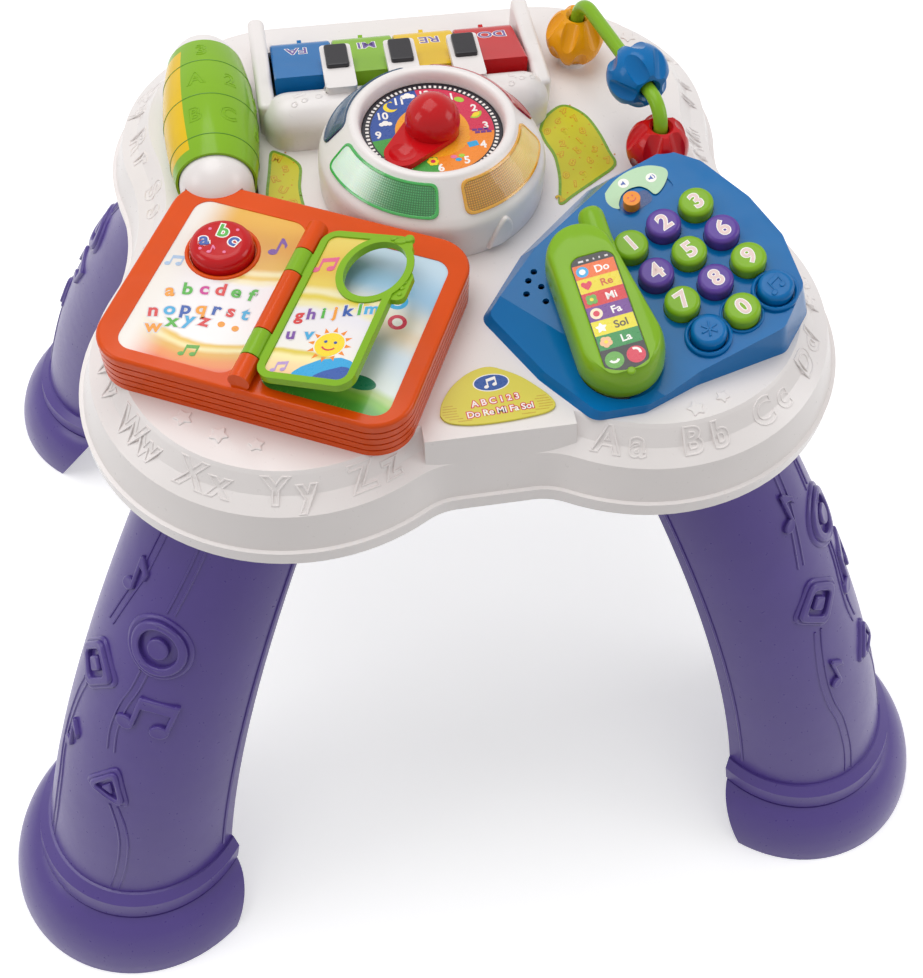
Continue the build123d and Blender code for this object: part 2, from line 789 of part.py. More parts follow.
def leg_radius(z):
    """Outer radius of the leg's tube at a height."""
    return leg_radius_low + (leg_radius_high - leg_radius_low) * z / rim_z


def foot_radius_at(z):
    """Outer radius of the bell-shaped foot at a height."""
    neck = leg_radius(foot_height)
    return neck + (foot_radius - neck) * sqrt(1 - (z / foot_height) ** 2)


def ring(z, radius):
    """A flat disc on the leg's centre at a height."""
    with BuildSketch(Plane(origin=(leg_reach(z), 0, z))) as disc:
        Circle(radius)
    return disc.sketch


def spread(low, high, steps):
    """Evenly spaced heights from low to high."""
    return [low + (high - low) * step / steps for step in range(steps + 1)]


bell_heights = [foot_height * share for share in (0, 0.35, 0.65, 0.85, 0.97)]
collar_low = foot_height - 3
collar_bulge = [(0, 1), (0.2, collar_proud), (0.8, collar_proud), (1, 0.4)]

# One leg, standing along the X axis: a bowed C-section tube with a collar and a bell foot,
# closed by a plate on top that carries the plug.
with BuildPart() as leg:
    loft(sections=[ring(z, foot_radius_at(z)) for z in bell_heights])
    loft(sections=[ring(z, leg_radius(z)) for z in spread(collar_low, rim_z, 5)])
    loft(
        sections=[
            ring(collar_low + share * collar_height, leg_radius(collar_low) + proud)
            for share, proud in collar_bulge
        ],
        ruled=True,
    )
    loft(sections=[ring(z, foot_radius_at(z) - leg_wall) for z in bell_heights], mode=Mode.SUBTRACT)
    loft(
        sections=[ring(z, leg_radius(z) - leg_wall) for z in spread(collar_low - 2, rim_z - leg_wall, 5)],
        mode=Mode.SUBTRACT,
    )
    with BuildSketch(Plane.XZ):
        with BuildLine():
            edge = [(leg_reach(z) - wrap_share * leg_radius(z), z) for z in spread(foot_height, rim_z, 4)]
            Line((foot_reach, 0), edge[0])
            Spline(edge)
            Polyline(edge[-1], (0, rim_z), (0, 0), (foot_reach, 0))
        make_face()
    extrude(amount=2 * foot_radius, both=True, mode=Mode.SUBTRACT)
    posts([(leg_plug_reach, 0)], leg_plug_radius, rim_z, rim_z + leg_plug_height)

for leg_name, angle in leg_angles.items():
    with BuildPart() as placed_leg:
        with Locations(Location((0, 0, 0), (0, 0, angle))):
            add(leg.part)
    save(placed_leg, leg_name)


# ---- Piano ---------------------------------------------------------------------------
def key_section(inset):
    """Side view of a key: high by the bar, falling and rounding over to the rear."""
    with BuildSketch(Plane.YZ) as side:
        with BuildLine():
            Polyline(
                (key_rear_y - inset, key_low_z - key_nose),
                (key_rear_y - inset, key_bottom_z),
                (key_front_y + inset, key_bottom_z),
                (key_front_y + inset, key_high_z - inset),
            )
            slope = Line(
                (key_front_y + inset, key_high_z - inset), (key_rear_y - key_nose, key_low_z - inset)
            )
            TangentArc(slope @ 1, (key_rear_y - inset, key_low_z - key_nose), tangent=slope % 1)
        make_face()
    return side.sketch


# One key, centred on the YZ plane: a hollow moulding with a middle rib that presses its
# switch, bored for the pivot rod.
key_half_width = (key_pitch - key_gap) / 2
with BuildPart() as key:
    extrude(key_section(0), amount=key_half_width, both=True)
    fillet(key.edges().filter_by(Axis.Z).group_by(Axis.Y)[-1], radius=key_corner)
    upper = [e for e in key.edges() if e.center().Z > key_low_z - key_nose]
    sides = [e for e in upper if e.center().Y > key_front_y + 1 and abs(e.center().X) > 1]
    fillet(sides, radius=key_round)
    extrude(key_section(key_wall), amount=key_half_width - key_wall, both=True, mode=Mode.SUBTRACT)
    with BuildSketch(Plane.XY.offset(key_bottom_z)):
        with Locations((0, (key_front_y + key_rear_y) / 2)):
            Rectangle(key_wall, key_rear_y - key_front_y - key_wall)
    extrude(amount=key_low_z - key_bottom_z - 2 * key_wall)
    with BuildSketch(Plane.YZ):
        with Locations((pivot_y, pivot_z)):
            Circle(pivot_radius + running_gap)
    extrude(amount=key_pitch, both=True, mode=Mode.SUBTRACT)

for number, note in enumerate(("fa", "mi", "re", "do")):
    with BuildPart() as piano_key:
        with Locations((keys_left + (number + 0.5) * key_pitch, 0, 0)):
            add(key.part)
    save(piano_key, f"piano_key_{note}")

# Black key tops glued into their frames.
with BuildPart() as black_keys:
    with BuildSketch(Plane.XY.offset(black_frame_z + black_frame_height)):
        with Locations(*black_key_places):
            RectangleRounded(black_key_width, black_key_length, 1.5)
    extrude(amount=black_key_height)
    fillet(black_keys.edges().group_by(Axis.Z)[-1], radius=0.8)
save(black_keys, "black_keys")

rod_reach = opening_margin + frame_wall * 0.7
with BuildPart() as piano_pivot_rod:
    with BuildSketch(Plane.YZ.offset(keys_left - rod_reach)):
        with Locations((pivot_y, pivot_z)):
            Circle(pivot_radius)
    extrude(amount=keys_right - keys_left + 2 * rod_reach)
save(piano_pivot_rod, "piano_pivot_rod")

# Switch board under the keys with a rubber dome below each middle rib.
dome_places = [(keys_left + (number + 0.5) * key_pitch, switch_board_y) for number in range(4)]
with BuildPart() as piano_switch_board:
    with BuildSketch(Plane.XY.offset(switch_board_z)):
        with Locations((piano_x, switch_board_y)):
            RectangleRounded(keys_right - keys_left, switch_board_depth, 2)
    extrude(amount=board_thickness)
    posts(dome_places, rubber_dome_radius, switch_board_z + board_thickness, rubber_dome_top_z)
save(piano_switch_board, "piano_switch_board")

# ---- Bead track ----------------------------------------------------------------------
tube_low_z = deck_under_z - tube_grip
with BuildPart() as bead_tube:
    with BuildLine() as track:
        FilletPolyline(
            (*track_places[0], tube_low_z),
            (*track_places[0], track_top_z),
            (*track_places[1], track_top_z),
            (*track_places[1], tube_low_z),
            radius=track_bend,
        )
    with BuildSketch(Plane(origin=(*track_places[0], tube_low_z))):
        Circle(tube_radius)
        Circle(tube_radius - tube_wall, mode=Mode.SUBTRACT)
    sweep(path=track.wires()[0])
save(bead_tube, "bead_tube")

# One bead about the Z axis: a ball with flat ends, a flared bore and leaning scoops round
# both ends, staggered so that their tips meet the ribs of the other end.
with BuildPart() as bead:
    Sphere(bead_radius)
    Cylinder(2 * bead_radius, bead_length, mode=Mode.INTERSECT)
    for end in (1, -1):
        turn = 0 if end == 1 else 180 / scoop_count
        with PolarLocations(0, scoop_count, start_angle=turn):
            with Locations(Location((scoop_reach, 0, 0), (0, -scoop_lean * end, 0))):
                Cylinder(
                    scoop_radius,
                    2 * bead_radius,
                    align=(Align.CENTER, Align.CENTER, Align.MIN if end == 1 else Align.MAX),
                    mode=Mode.SUBTRACT,
                )
    Cylinder(bead_bore_radius, bead_length, mode=Mode.SUBTRACT)
    for end in (1, -1):
        with Locations(Location((0, 0, end * (bead_length - bead_flare) / 2), (90 - 90 * end, 0, 0))):
            Cone(bead_bore_radius, bead_bore_radius + bead_flare, bead_flare, mode=Mode.SUBTRACT)

run_x = track_front_x - track_rear_x
run_y = track_front_y - track_rear_y
bead_rests = {
    "bead_yellow": Location((track_rear_x, track_rear_y, rear_bead_z)),
    "bead_red": Location((track_front_x, track_front_y, front_bead_z)),
    "bead_blue": Location(
        Plane(
            origin=(
                track_rear_x + run_x * middle_bead_share,
                track_rear_y + run_y * middle_bead_share,
                track_top_z,
            ),
            z_dir=(run_x, run_y, 0),
        )
    ),
}
for bead_name, rest in bead_rests.items():
    with BuildPart() as placed_bead:
        with Locations(rest):
            add(bead.part)
    save(placed_bead, bead_name)


# ---- Book ----------------------------------------------------------------------------
def book_slab(inset, low, height, mode=Mode.ADD):
    """A rounded slab of the book's plan, between two heights above the deck."""
    with BuildSketch(book_plane.offset(low)) as slab:
        with Locations((0, book_offset_y)):
            RectangleRounded(book_width - 2 * inset, book_depth - 2 * inset, book_corner - inset)
    extrude(slab.sketch, amount=height, mode=mode)


def book_rectangle(span, low, height, corner, mode=Mode.ADD):
    """A rounded block given by its two corners on the book's plan."""
    x0, y0, x1, y1 = span
    with BuildSketch(book_plane.offset(low)) as block:
        with Locations(((x0 + x1) / 2, (y0 + y1) / 2)):
            RectangleRounded(x1 - x0, y1 - y0, corner)
    extrude(block.sketch, amount=height, mode=mode)


def along_hinge(low, high, radius, mode=Mode.ADD):
    """A round bar or bore on the page's pivot line."""
    plane = Plane(
        origin=book_plane.from_local_coords(Vector(0, low, hinge_lift)),
        x_dir=book_plane.x_dir,
        z_dir=book_plane.y_dir,
    )
    with BuildSketch(plane) as disc:
        Circle(radius)
    extrude(disc.sketch, amount=high - low, mode=mode)


button_plane = Plane(origin=book_plane.from_local_coords(Vector(-button_x, button_y, 0)))
knuckle_cuts = [48.0, 29.5, 14.8, -21.5, -36.7, -50.0]  # knuckle joints along the pivot line
pin_low = knuckle_cuts[-1] + knuckle_end
pin_high = knuckle_cuts[0] - knuckle_end
fixed_knuckles = [(knuckle_cuts[i + 1], knuckle_cuts[i]) for i in (0, 2, 4)]
page_knuckles = [(knuckle_cuts[i + 1] + fit_gap, knuckle_cuts[i] - fit_gap) for i in (1, 3)]

# Space inside the book, less the posts that its screws bite into.
book_screws = [book_point(x, y) for x, y in book_screw_places]
with BuildPart() as book_hollow:
    book_slab(book_wall + page_leaf_step, 0, book_height - book_wall - page_sink)
    posts(book_screws, boss_radius, deck_z, deck_z + book_height, mode=Mode.SUBTRACT)

# Open book: a hollow block with leaf grooves round its sides, two sunk pages, the fixed
# knuckles and the bore of the red button.
with BuildPart() as book_base:
    book_slab(page_leaf_step, 0, book_height)
    for leaf in range(leaf_count):
        book_slab(0, leaf * leaf_pitch, leaf_pitch - leaf_groove)
    book_slab(0, leaf_count * leaf_pitch, book_height - leaf_count * leaf_pitch)
    fillet(book_base.edges().group_by(Axis.Z)[-1], radius=book_edge_round)
    add(book_hollow.part, mode=Mode.SUBTRACT)
    for low, high in fixed_knuckles:
        along_hinge(low, high, knuckle_radius)
    for span in (left_page, right_page):
        book_rectangle(span, book_height - page_sink, page_sink, page_corner, mode=Mode.SUBTRACT)
    for low, high in page_knuckles:
        along_hinge(low - 2 * fit_gap, high + 2 * fit_gap, knuckle_radius + fit_gap, mode=Mode.SUBTRACT)
    along_hinge(pin_low, pin_high, hinge_pin_radius, mode=Mode.SUBTRACT)
    posts(
        [book_point(-button_x, button_y)],
        button_radius + fit_gap,
        deck_z + button_seat,
        deck_z + book_height,
        mode=Mode.SUBTRACT,
    )
    posts(book_screws, screw_radius, deck_z, deck_z + module_screw_grip, mode=Mode.SUBTRACT)
save(book_base, "book_base")

# Printed sheets glued into the sunk pages.
with BuildPart() as page_stickers:
    for span in (left_page, right_page):
        book_rectangle(span, book_height - page_sink, sticker_thickness, page_corner)
    posts(
        [book_point(-button_x, button_y)],
        button_radius + 2 * fit_gap,
        deck_z + book_height - page_sink,
        deck_z + book_height,
        mode=Mode.SUBTRACT,
    )
save(page_stickers, "page_stickers")

with BuildPart() as book_hinge_pin:
    along_hinge(pin_low, pin_high, hinge_pin_radius)
save(book_hinge_pin, "book_hinge_pin")

# Page that lifts on the pivot: a framed sheet with an oval hole, a finger tab and two
# knuckles.
lean = radians(page_rest_angle)
page_x_dir = book_plane.x_dir * cos(lean) + Vector(0, 0, sin(lean))
page_z_dir = Vector(0, 0, cos(lean)) - book_plane.x_dir * sin(lean)
page_plane = Plane(
    origin=book_plane.from_local_coords(Vector(0, 0, hinge_lift)), x_dir=page_x_dir, z_dir=page_z_dir
)
page_inner_x = knuckle_radius + 3 * fit_gap
with BuildPart() as book_page:
    with BuildSketch(page_plane.offset(-page_thickness / 2)):
        with Locations(((page_inner_x + page_width) / 2, page_middle_y)):
            RectangleRounded(page_width - page_inner_x, page_depth, page_corner)
        with Locations((page_width, page_tab_y)):
            RectangleRounded(2 * page_tab_reach, page_tab_depth, page_tab_reach * 0.6)
        for low, high in page_knuckles:
            with Locations((page_inner_x / 2 + 1, (low + high) / 2)):
                Rectangle(page_inner_x + 2, high - low)
        with Locations((button_x, button_y)):
            Ellipse(page_hole_half_width, page_hole_half_depth, mode=Mode.SUBTRACT)
    extrude(amount=page_thickness)
    with BuildSketch(page_plane.offset(page_thickness / 2)):
        with Locations(((page_inner_x + page_width) / 2, page_middle_y)):
            RectangleRounded(page_width - page_inner_x, page_depth, page_corner)
            RectangleRounded(
                page_width - page_inner_x - 2 * page_border,
                page_depth - 2 * page_border,
                page_corner - page_border,
                mode=Mode.SUBTRACT,
            )
        with Locations((button_x, button_y)):
            Ellipse(page_hole_half_width + page_hole_rim, page_hole_half_depth + page_hole_rim)
            Ellipse(page_hole_half_width, page_hole_half_depth, mode=Mode.SUBTRACT)
    extrude(amount=page_border_rise)
    for low, high in page_knuckles:
        along_hinge(low, high, knuckle_radius)
        along_hinge(low, high, hinge_pin_radius + running_gap, mode=Mode.SUBTRACT)
save(book_page, "book_page")

# Red button with its domed top and the flange that keeps it in the book.
button_top = book_height + button_rise
with BuildPart() as red_button:
    with BuildSketch(button_plane.offset(button_seat - button_flange_height - running_gap)):
        Circle(button_flange)
    extrude(amount=button_flange_height)
    with BuildSketch(button_plane.offset(button_seat - button_flange_height - running_gap)):
        Circle(button_radius)
    extrude(amount=button_top - button_seat + button_flange_height + running_gap)
    fillet(red_button.edges().group_by(Axis.Z)[-1], radius=button_rise * 0.6)
save(red_button, "red_button")

with BuildPart() as button_spring:
    spring_height = button_seat - button_flange_height - running_gap - 2 * spring_wire
    with BuildLine() as coil:
        Helix(
            pitch=spring_height / spring_turns,
            height=spring_height,
            radius=spring_radius,
            center=button_plane.offset(spring_wire).origin,
        )
    with BuildSketch(Plane(origin=coil.wires()[0] @ 0, z_dir=coil.wires()[0] % 0)):
        Circle(spring_wire)
    sweep(path=coil.wires()[0])
save(button_spring, "button_spring")


# ---- Roller --------------------------------------------------------------------------
roller_plane = Plane(origin=(roller_x, 0, roller_z), x_dir=(0, 1, 0), z_dir=(1, 0, 0))
roller_axis = Axis((roller_x, 0, roller_z), (0, 1, 0))
ball_places = [
    (roller_x, roller_front_y - ball_gap, roller_z),
    (roller_x, roller_rear_y + ball_gap, roller_z),
]


def barrel_solid(inset, mode=Mode.ADD):
    """The roller's barrel form, a distance inside its skin."""
    front = roller_front_y + inset
    rear = roller_rear_y - inset
    with BuildSketch(roller_plane) as half:
        with BuildLine():
            Line((front, 0), (front, roller_end_radius - inset))
            ThreePointArc(
                (front, roller_end_radius - inset),
                (roller_mid_y, roller_radius - inset),
                (rear, roller_end_radius - inset),
            )
            Polyline((rear, roller_end_radius - inset), (rear, 0), (front, 0))
        make_face()
    revolve(half.sketch, axis=roller_axis, mode=mode)


def along_roller(low, high, radius, mode=Mode.ADD):
    """A round bar or bore on the roller's axis."""
    plane = Plane(origin=(roller_x, low, roller_z), x_dir=(1, 0, 0), z_dir=(0, 1, 0))
    with BuildSketch(plane) as disc:
        Circle(radius)
    extrude(disc.sketch, amount=high - low, mode=mode)


# The whole barrel skin, open at both ends where the balls stand in it.
with BuildPart() as barrel_skin:
    barrel_solid(0)
    barrel_solid(roller_wall, mode=Mode.SUBTRACT)
    with Locations(*ball_places):
        Sphere(ball_radius + ball_gap, mode=Mode.SUBTRACT)

# The part of the skin that is a separate yellow moulding.
with BuildPart() as skin_sector:
    sector_plane = Plane(
        origin=(roller_x, roller_front_y + sector_margin, roller_z), x_dir=(1, 0, 0), z_dir=(0, 1, 0)
    )
    with BuildSketch(sector_plane):
        with BuildLine():
            first = PolarLine((0, 0), 2 * roller_radius, sector_direction - yellow_sector / 2)
            last = PolarLine((0, 0), 2 * roller_radius, sector_direction + yellow_sector / 2)
            Line(first @ 1, last @ 1)
        make_face()
    extrude(amount=roller_length - 2 * sector_margin)

# Two webs inside the barrel, bored for the axle.
with BuildPart() as barrel_webs:
    for web_y in (roller_front_y + roller_web_inset, roller_rear_y - roller_web_inset - roller_web):
        along_roller(web_y, web_y + roller_web, roller_radius)
    barrel_solid(roller_wall, mode=Mode.INTERSECT)
    along_roller(roller_front_y, roller_rear_y, axle_radius + running_gap, mode=Mode.SUBTRACT)

with BuildPart() as roller_barrel:
    add(barrel_skin.part)
    add(skin_sector.part, mode=Mode.SUBTRACT)
    add(barrel_webs.part)
save(roller_barrel, "roller_barrel")

with BuildPart() as roller_yellow_panel:
    add(barrel_skin.part)
    add(skin_sector.part, mode=Mode.INTERSECT)
save(roller_yellow_panel, "roller_yellow_panel")

# Fixed balls on the deck that hold the axle; the front one is cut off by the book's side.
axle_front_y = ball_places[0][1] + ball_radius - axle_grip
axle_rear_y = ball_places[1][1] - ball_radius + axle_grip
with BuildPart() as roller_balls:
    for (x, y, z), outward in zip(ball_places, (-1, 1)):
        with Locations((x, y, z)):
            Sphere(ball_radius)
        with BuildSketch(Plane.XY.offset(deck_z)):
            with Locations((x, y)):
                Circle(ball_radius)
            with Locations((x, y - outward * ball_radius)):
                Rectangle(2 * ball_radius, 2 * ball_radius, mode=Mode.SUBTRACT)
        extrude(amount=z - deck_z)
    with Locations((roller_x, roller_mid_y, deck_z)):
        Box(4 * roller_radius, 3 * roller_length, roller_radius, align=below, mode=Mode.SUBTRACT)
    book_slab(0, 0, book_height, mode=Mode.SUBTRACT)
    along_roller(axle_front_y, axle_rear_y, axle_radius, mode=Mode.SUBTRACT)
save(roller_balls, "roller_balls")

with BuildPart() as roller_axle:
    along_roller(axle_front_y, axle_rear_y, axle_radius)
save(roller_axle, "roller_axle")


# ---- Phone panel ---------------------------------------------------------------------
panel_corners = [
    (6, -84), (33, -46), (76, -6), (112, 13), (131, 0), (152, -34), (163, -66), (164, -102),
    (145.5, -125), (98, -138), (70, -150), (46, -151), (26, -124),
]
panel_lean_centre = (105, -122)


def panel_ring(inset, scale, z):
    """The panel's outline at a height, drawn a distance inside its skin."""
    corners = [
        (
            panel_lean_centre[0] + (x - panel_lean_centre[0]) * scale,
            panel_lean_centre[1] + (y - panel_lean_centre[1]) * scale,
        )
        for x, y in panel_corners
    ]
    with BuildSketch(Plane.XY.offset(z)) as outline:
        Polygon(*corners, align=None)
        if inset:
            offset(amount=-inset, kind=Kind.INTERSECTION, mode=Mode.REPLACE)
    return outline.sketch


def above_panel(inset):
    """Everything above the keypad's plane and above the panel's low part."""
    with BuildPart() as above:
        with Locations(Location(pad_plane.offset(-inset))):
            Box(rim_z, rim_z, rim_z, align=upwards)
        with Locations((pad_x, pad_y, deck_z + panel_low_height - inset)):
            Box(2 * rim_z, 2 * rim_z, 2 * rim_z, align=upwards, mode=Mode.INTERSECT)
    return above.part


def panel_form(inset):
    """The panel's sloping body above the deck, a distance inside its skin."""
    with BuildPart() as form:
        loft(
            sections=[panel_ring(inset, 1, deck_z), panel_ring(inset, panel_scale, panel_high_z)],
            ruled=True,
        )
        slanted = [e for e in form.edges() if abs(e.center().Z - (deck_z + panel_high_z) / 2) < 1]
        fillet(slanted, radius=panel_corner - inset)
        add(above_panel(inset), mode=Mode.SUBTRACT)
        posts([track_places[1]], track_notch_radius + inset, deck_z, panel_high_z, mode=Mode.SUBTRACT)
    return form.part


def pad_posts(places, radius, low, high, mode=Mode.ADD):
    """Round posts or holes square to the keypad, between two heights above it."""
    with BuildSketch(pad_plane.offset(low)) as feet:
        with Locations(*places):
            Circle(radius)
    extrude(feet.sketch, amount=high - low, mode=mode)


def handset_outline(grow, height):
    """The handset's pear-shaped plan, grown by an amount, at a height above the keypad."""
    with BuildSketch(handset_plane.offset(height)) as outline:
        with Locations((0, handset_top_y)):
            Circle(handset_top_radius + grow)
        with Locations((0, handset_bottom_y)):
            Circle(handset_bottom_radius + grow)
        make_hull()
    return outline.sketch


handset_plane = Plane(pad_plane * Location((handset_x, handset_y, 0), (0, 0, handset_turn)))
key_rows = ["123", "456", "789", ("star", "0", "note")]
number_keys = {
    f"key_{mark}": ((column - 1) * key_column_pitch, (1 - row) * key_row_pitch)
    for row, marks in enumerate(key_rows)
    for column, mark in enumerate(marks)
}
number_key_places = list(number_keys.values())
board_post_pad = [(x, y) for x in (-keypad_post_x, keypad_post_x) for y in keypad_post_y]

# Space inside the panel, less its screw posts and the posts that hold the keypad board.
panel_space = panel_form(panel_wall)
with BuildPart() as panel_hollow:
    add(panel_space)
    posts(phone_screw_places, boss_radius, deck_z, panel_high_z, mode=Mode.SUBTRACT)
    pad_posts(board_post_pad, keypad_post_radius, keypad_board_h, 0, mode=Mode.SUBTRACT)

# Sloping phone panel with the key holes, slider slot, speaker holes and handset cradle.
panel_block = panel_form(0)
with BuildPart() as phone_panel:
    add(panel_block)
    add(panel_hollow.part, mode=Mode.SUBTRACT)
    pad_posts(number_key_places, number_key_radius + fit_gap, -panel_wall * 2, 1, mode=Mode.SUBTRACT)
    pad_posts(speaker_hole_places, speaker_hole_radius, -panel_wall * 2, 3, mode=Mode.SUBTRACT)
    extrude(handset_outline(fit_gap, -cradle_depth), amount=handset_height, mode=Mode.SUBTRACT)
    with BuildSketch(pad_plane.offset(-mode_window_depth)):
        with Locations((slider_x + mode_window_offset, slider_y + mode_window_lift)):
            RectangleRounded(mode_window_width, mode_window_height, 4)
    extrude(amount=mode_window_depth, mode=Mode.SUBTRACT)
    with BuildSketch(pad_plane.offset(-2 * panel_wall)):
        with Locations((slider_x + slider_travel / 2, slider_y)):
            SlotCenterToCenter(slider_travel, 2 * (slider_stem_radius + running_gap))
    extrude(amount=3 * panel_wall, mode=Mode.SUBTRACT)
    posts(phone_screw_places, screw_radius, deck_z, deck_z + module_screw_grip, mode=Mode.SUBTRACT)
save(phone_panel, "phone_panel")

# Number keys: rounded caps with a flange below the panel's skin.
with BuildPart() as number_key:
    with BuildSketch(pad_plane.offset(-panel_wall - running_gap - key_flange_height)):
        Circle(number_key_flange)
    extrude(amount=key_flange_height)
    with BuildSketch(pad_plane.offset(-panel_wall - running_gap - key_flange_height)):
        Circle(number_key_radius)
    extrude(amount=number_key_rise + panel_wall + running_gap + key_flange_height)
    cap_edge = number_key.edges().sort_by(Axis((0, 0, 0), tuple(pad_normal)))[-1]
    fillet(cap_edge, radius=number_key_round)

for key_name, (x, y) in number_keys.items():
    shift = pad_plane.x_dir * x + pad_plane.y_dir * y
    with BuildPart() as placed_key:
        with Locations(tuple(shift)):
            add(number_key.part)
    save(placed_key, key_name)

# Mode slider: round knob, stem through the slot and a plate below the skin.
with BuildPart() as mode_slider:
    pad_posts([(slider_x, slider_y)], slider_radius, running_gap - mode_window_depth, slider_rise)
    pad_posts([(slider_x, slider_y)], slider_stem_radius, -panel_wall - slider_plate, slider_rise)
    pad_posts([(slider_x, slider_y)], slider_radius, -panel_wall - slider_plate, -panel_wall - running_gap)
save(mode_slider, "mode_slider")

# Handset: a solid-looking pear shape with leaning sides, a stub aerial and a sunk screen.
with BuildPart() as handset_case:
    loft(
        sections=[
            handset_outline(0, -cradle_depth),
            handset_outline(-handset_draft * 0.25, handset_height * 0.55),
            handset_outline(-handset_draft, handset_height - cradle_depth),
        ],
        ruled=True,
    )
    aerial_plane = Plane(
        origin=handset_plane.from_local_coords(Vector(antenna_x, handset_top_y, antenna_lift)),
        x_dir=handset_plane.x_dir,
        z_dir=handset_plane.y_dir,
    )
    with BuildSketch(aerial_plane):
        Circle(antenna_radius)
    extrude(amount=handset_top_radius + antenna_length)
    aerial_tip = handset_case.edges().sort_by(Axis((0, 0, 0), tuple(handset_plane.y_dir)))[-1]
    fillet(aerial_tip, radius=antenna_radius * 0.8)
    with BuildSketch(handset_plane.offset(handset_height - cradle_depth - screen_thickness)):
        with Locations((0, screen_y)):
            RectangleRounded(screen_width, screen_length, 5)
    extrude(amount=screen_thickness, mode=Mode.SUBTRACT)
save(handset_case, "handset_case")

with BuildPart() as handset_screen:
    with BuildSketch(handset_plane.offset(handset_height - cradle_depth - screen_thickness)):
        with Locations((0, screen_y)):
            RectangleRounded(screen_width, screen_length, 5)
    extrude(amount=screen_thickness * 0.6)
save(handset_screen, "handset_screen")

# Keypad board with a rubber dome below each key.
with BuildPart() as keypad_board:
    with BuildSketch(pad_plane.offset(keypad_board_h - board_thickness)):
        with Locations((0, -key_row_pitch / 2)):
            RectangleRounded(keypad_board_width, keypad_board_length, keypad_board_corner)
    extrude(amount=board_thickness)
    pad_posts(number_key_places, number_key_radius * 0.6, keypad_board_h, keypad_dome_h)
save(keypad_board, "keypad_board")

# ---- Inside the case -----------------------------------------------------------------
with BuildPart() as main_board:
    with BuildSketch(Plane.XY.offset(board_z)):
        with Locations((0, (board_post_places[0][1] + board_post_places[1][1]) / 2)):
            RectangleRounded(
                board_post_places[-1][0] - board_post_places[0][0] + 3 * boss_radius,
                board_post_places[1][1] - board_post_places[0][1] + 3 * boss_radius,
                2,
            )
    extrude(amount=board_thickness)
    with BuildSketch(Plane.XY.offset(board_z + board_thickness)):
        with Locations((-18, 62), (16, 70)):
            Rectangle(chip_size, chip_size)
        with Locations((22, 40)):
            Rectangle(2 * chip_size, chip_size / 2)
    extrude(amount=chip_height)
save(main_board, "main_board")

with BuildPart() as speaker:
    posts([(speaker_x, speaker_y)], speaker_radius, deck_under_z - speaker_rim, deck_under_z)
    magnet_top_z = deck_under_z - speaker_rim
    posts([(speaker_x, speaker_y)], speaker_radius * 0.6, deck_under_z - speaker_depth, magnet_top_z)
save(speaker, "speaker")

with BuildPart() as battery_door:
    with BuildSketch(Plane.XY.offset(rim_z)):
        with Locations((battery_x, battery_y)):
            Rectangle(2 * (battery_half_width - fit_gap), 2 * (battery_half_depth - fit_gap))
    extrude(amount=wall)
save(battery_door, "battery_door")

with BuildPart() as battery_cells:
    for side in (-1, 1):
        plane = Plane.YZ.offset(battery_x - cell_length / 2)
        with BuildSketch(plane):
            with Locations((battery_y + side * (cell_radius + cell_gap), floor_top_z + cell_radius)):
                Circle(cell_radius)
        extrude(amount=cell_length)
    tips = Plane.YZ.offset(battery_x + cell_length / 2)
    with BuildSketch(tips):
        for side in (-1, 1):
            with Locations((battery_y + side * (cell_radius + cell_gap), floor_top_z + cell_radius)):
                Circle(cell_tip_radius)
    extrude(amount=cell_tip_length)
save(battery_cells, "battery_cells")
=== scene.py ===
from math import acos, cos, degrees, hypot, pi, radians, sin, sqrt

import bmesh
import bpy
from mathutils import Matrix, Vector
from mathutils.bvhtree import BVHTree


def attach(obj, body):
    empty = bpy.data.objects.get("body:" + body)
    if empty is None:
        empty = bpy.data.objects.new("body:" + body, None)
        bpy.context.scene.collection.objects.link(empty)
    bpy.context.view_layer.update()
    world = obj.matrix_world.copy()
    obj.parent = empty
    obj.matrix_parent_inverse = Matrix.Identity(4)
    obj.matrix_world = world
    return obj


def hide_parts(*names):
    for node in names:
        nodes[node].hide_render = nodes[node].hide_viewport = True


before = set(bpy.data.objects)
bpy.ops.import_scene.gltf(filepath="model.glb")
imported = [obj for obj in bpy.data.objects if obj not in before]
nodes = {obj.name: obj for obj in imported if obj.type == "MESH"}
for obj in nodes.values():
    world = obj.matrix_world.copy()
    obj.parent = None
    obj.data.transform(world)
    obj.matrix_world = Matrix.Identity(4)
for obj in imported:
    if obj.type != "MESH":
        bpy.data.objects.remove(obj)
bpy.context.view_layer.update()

# ---- Studio --------------------------------------------------------------------------
# A plain pale floor under a white room, lit by one large soft lamp overhead and two weaker
# ones at the sides. The room is white to the camera and in reflections, and dimmer as light.


def linear(colour):
    """An sRGB hex colour as linear red, green, blue and full opacity."""
    shares = [int(colour[i : i + 2], 16) / 255 for i in (0, 2, 4)]
    return (*[c / 12.92 if c <= 0.04045 else ((c + 0.055) / 1.055) ** 2.4 for c in shares], 1)


def add_node(tree, kind, sockets=None, **settings):
    """One node with its settings, and each socket filled with a value or an incoming link."""
    made = tree.nodes.new(kind)
    for name, value in settings.items():
        setattr(made, name, value)
    for socket, value in (sockets or {}).items():
        if isinstance(value, bpy.types.NodeSocket):
            tree.links.new(value, made.inputs[socket])
        else:
            made.inputs[socket].default_value = value
    return made


def empty_material(name):
    """A material with no nodes in it yet, and its node tree."""
    material = bpy.data.materials.new(name)
    material.use_nodes = True
    material.node_tree.nodes.clear()
    return material, material.node_tree


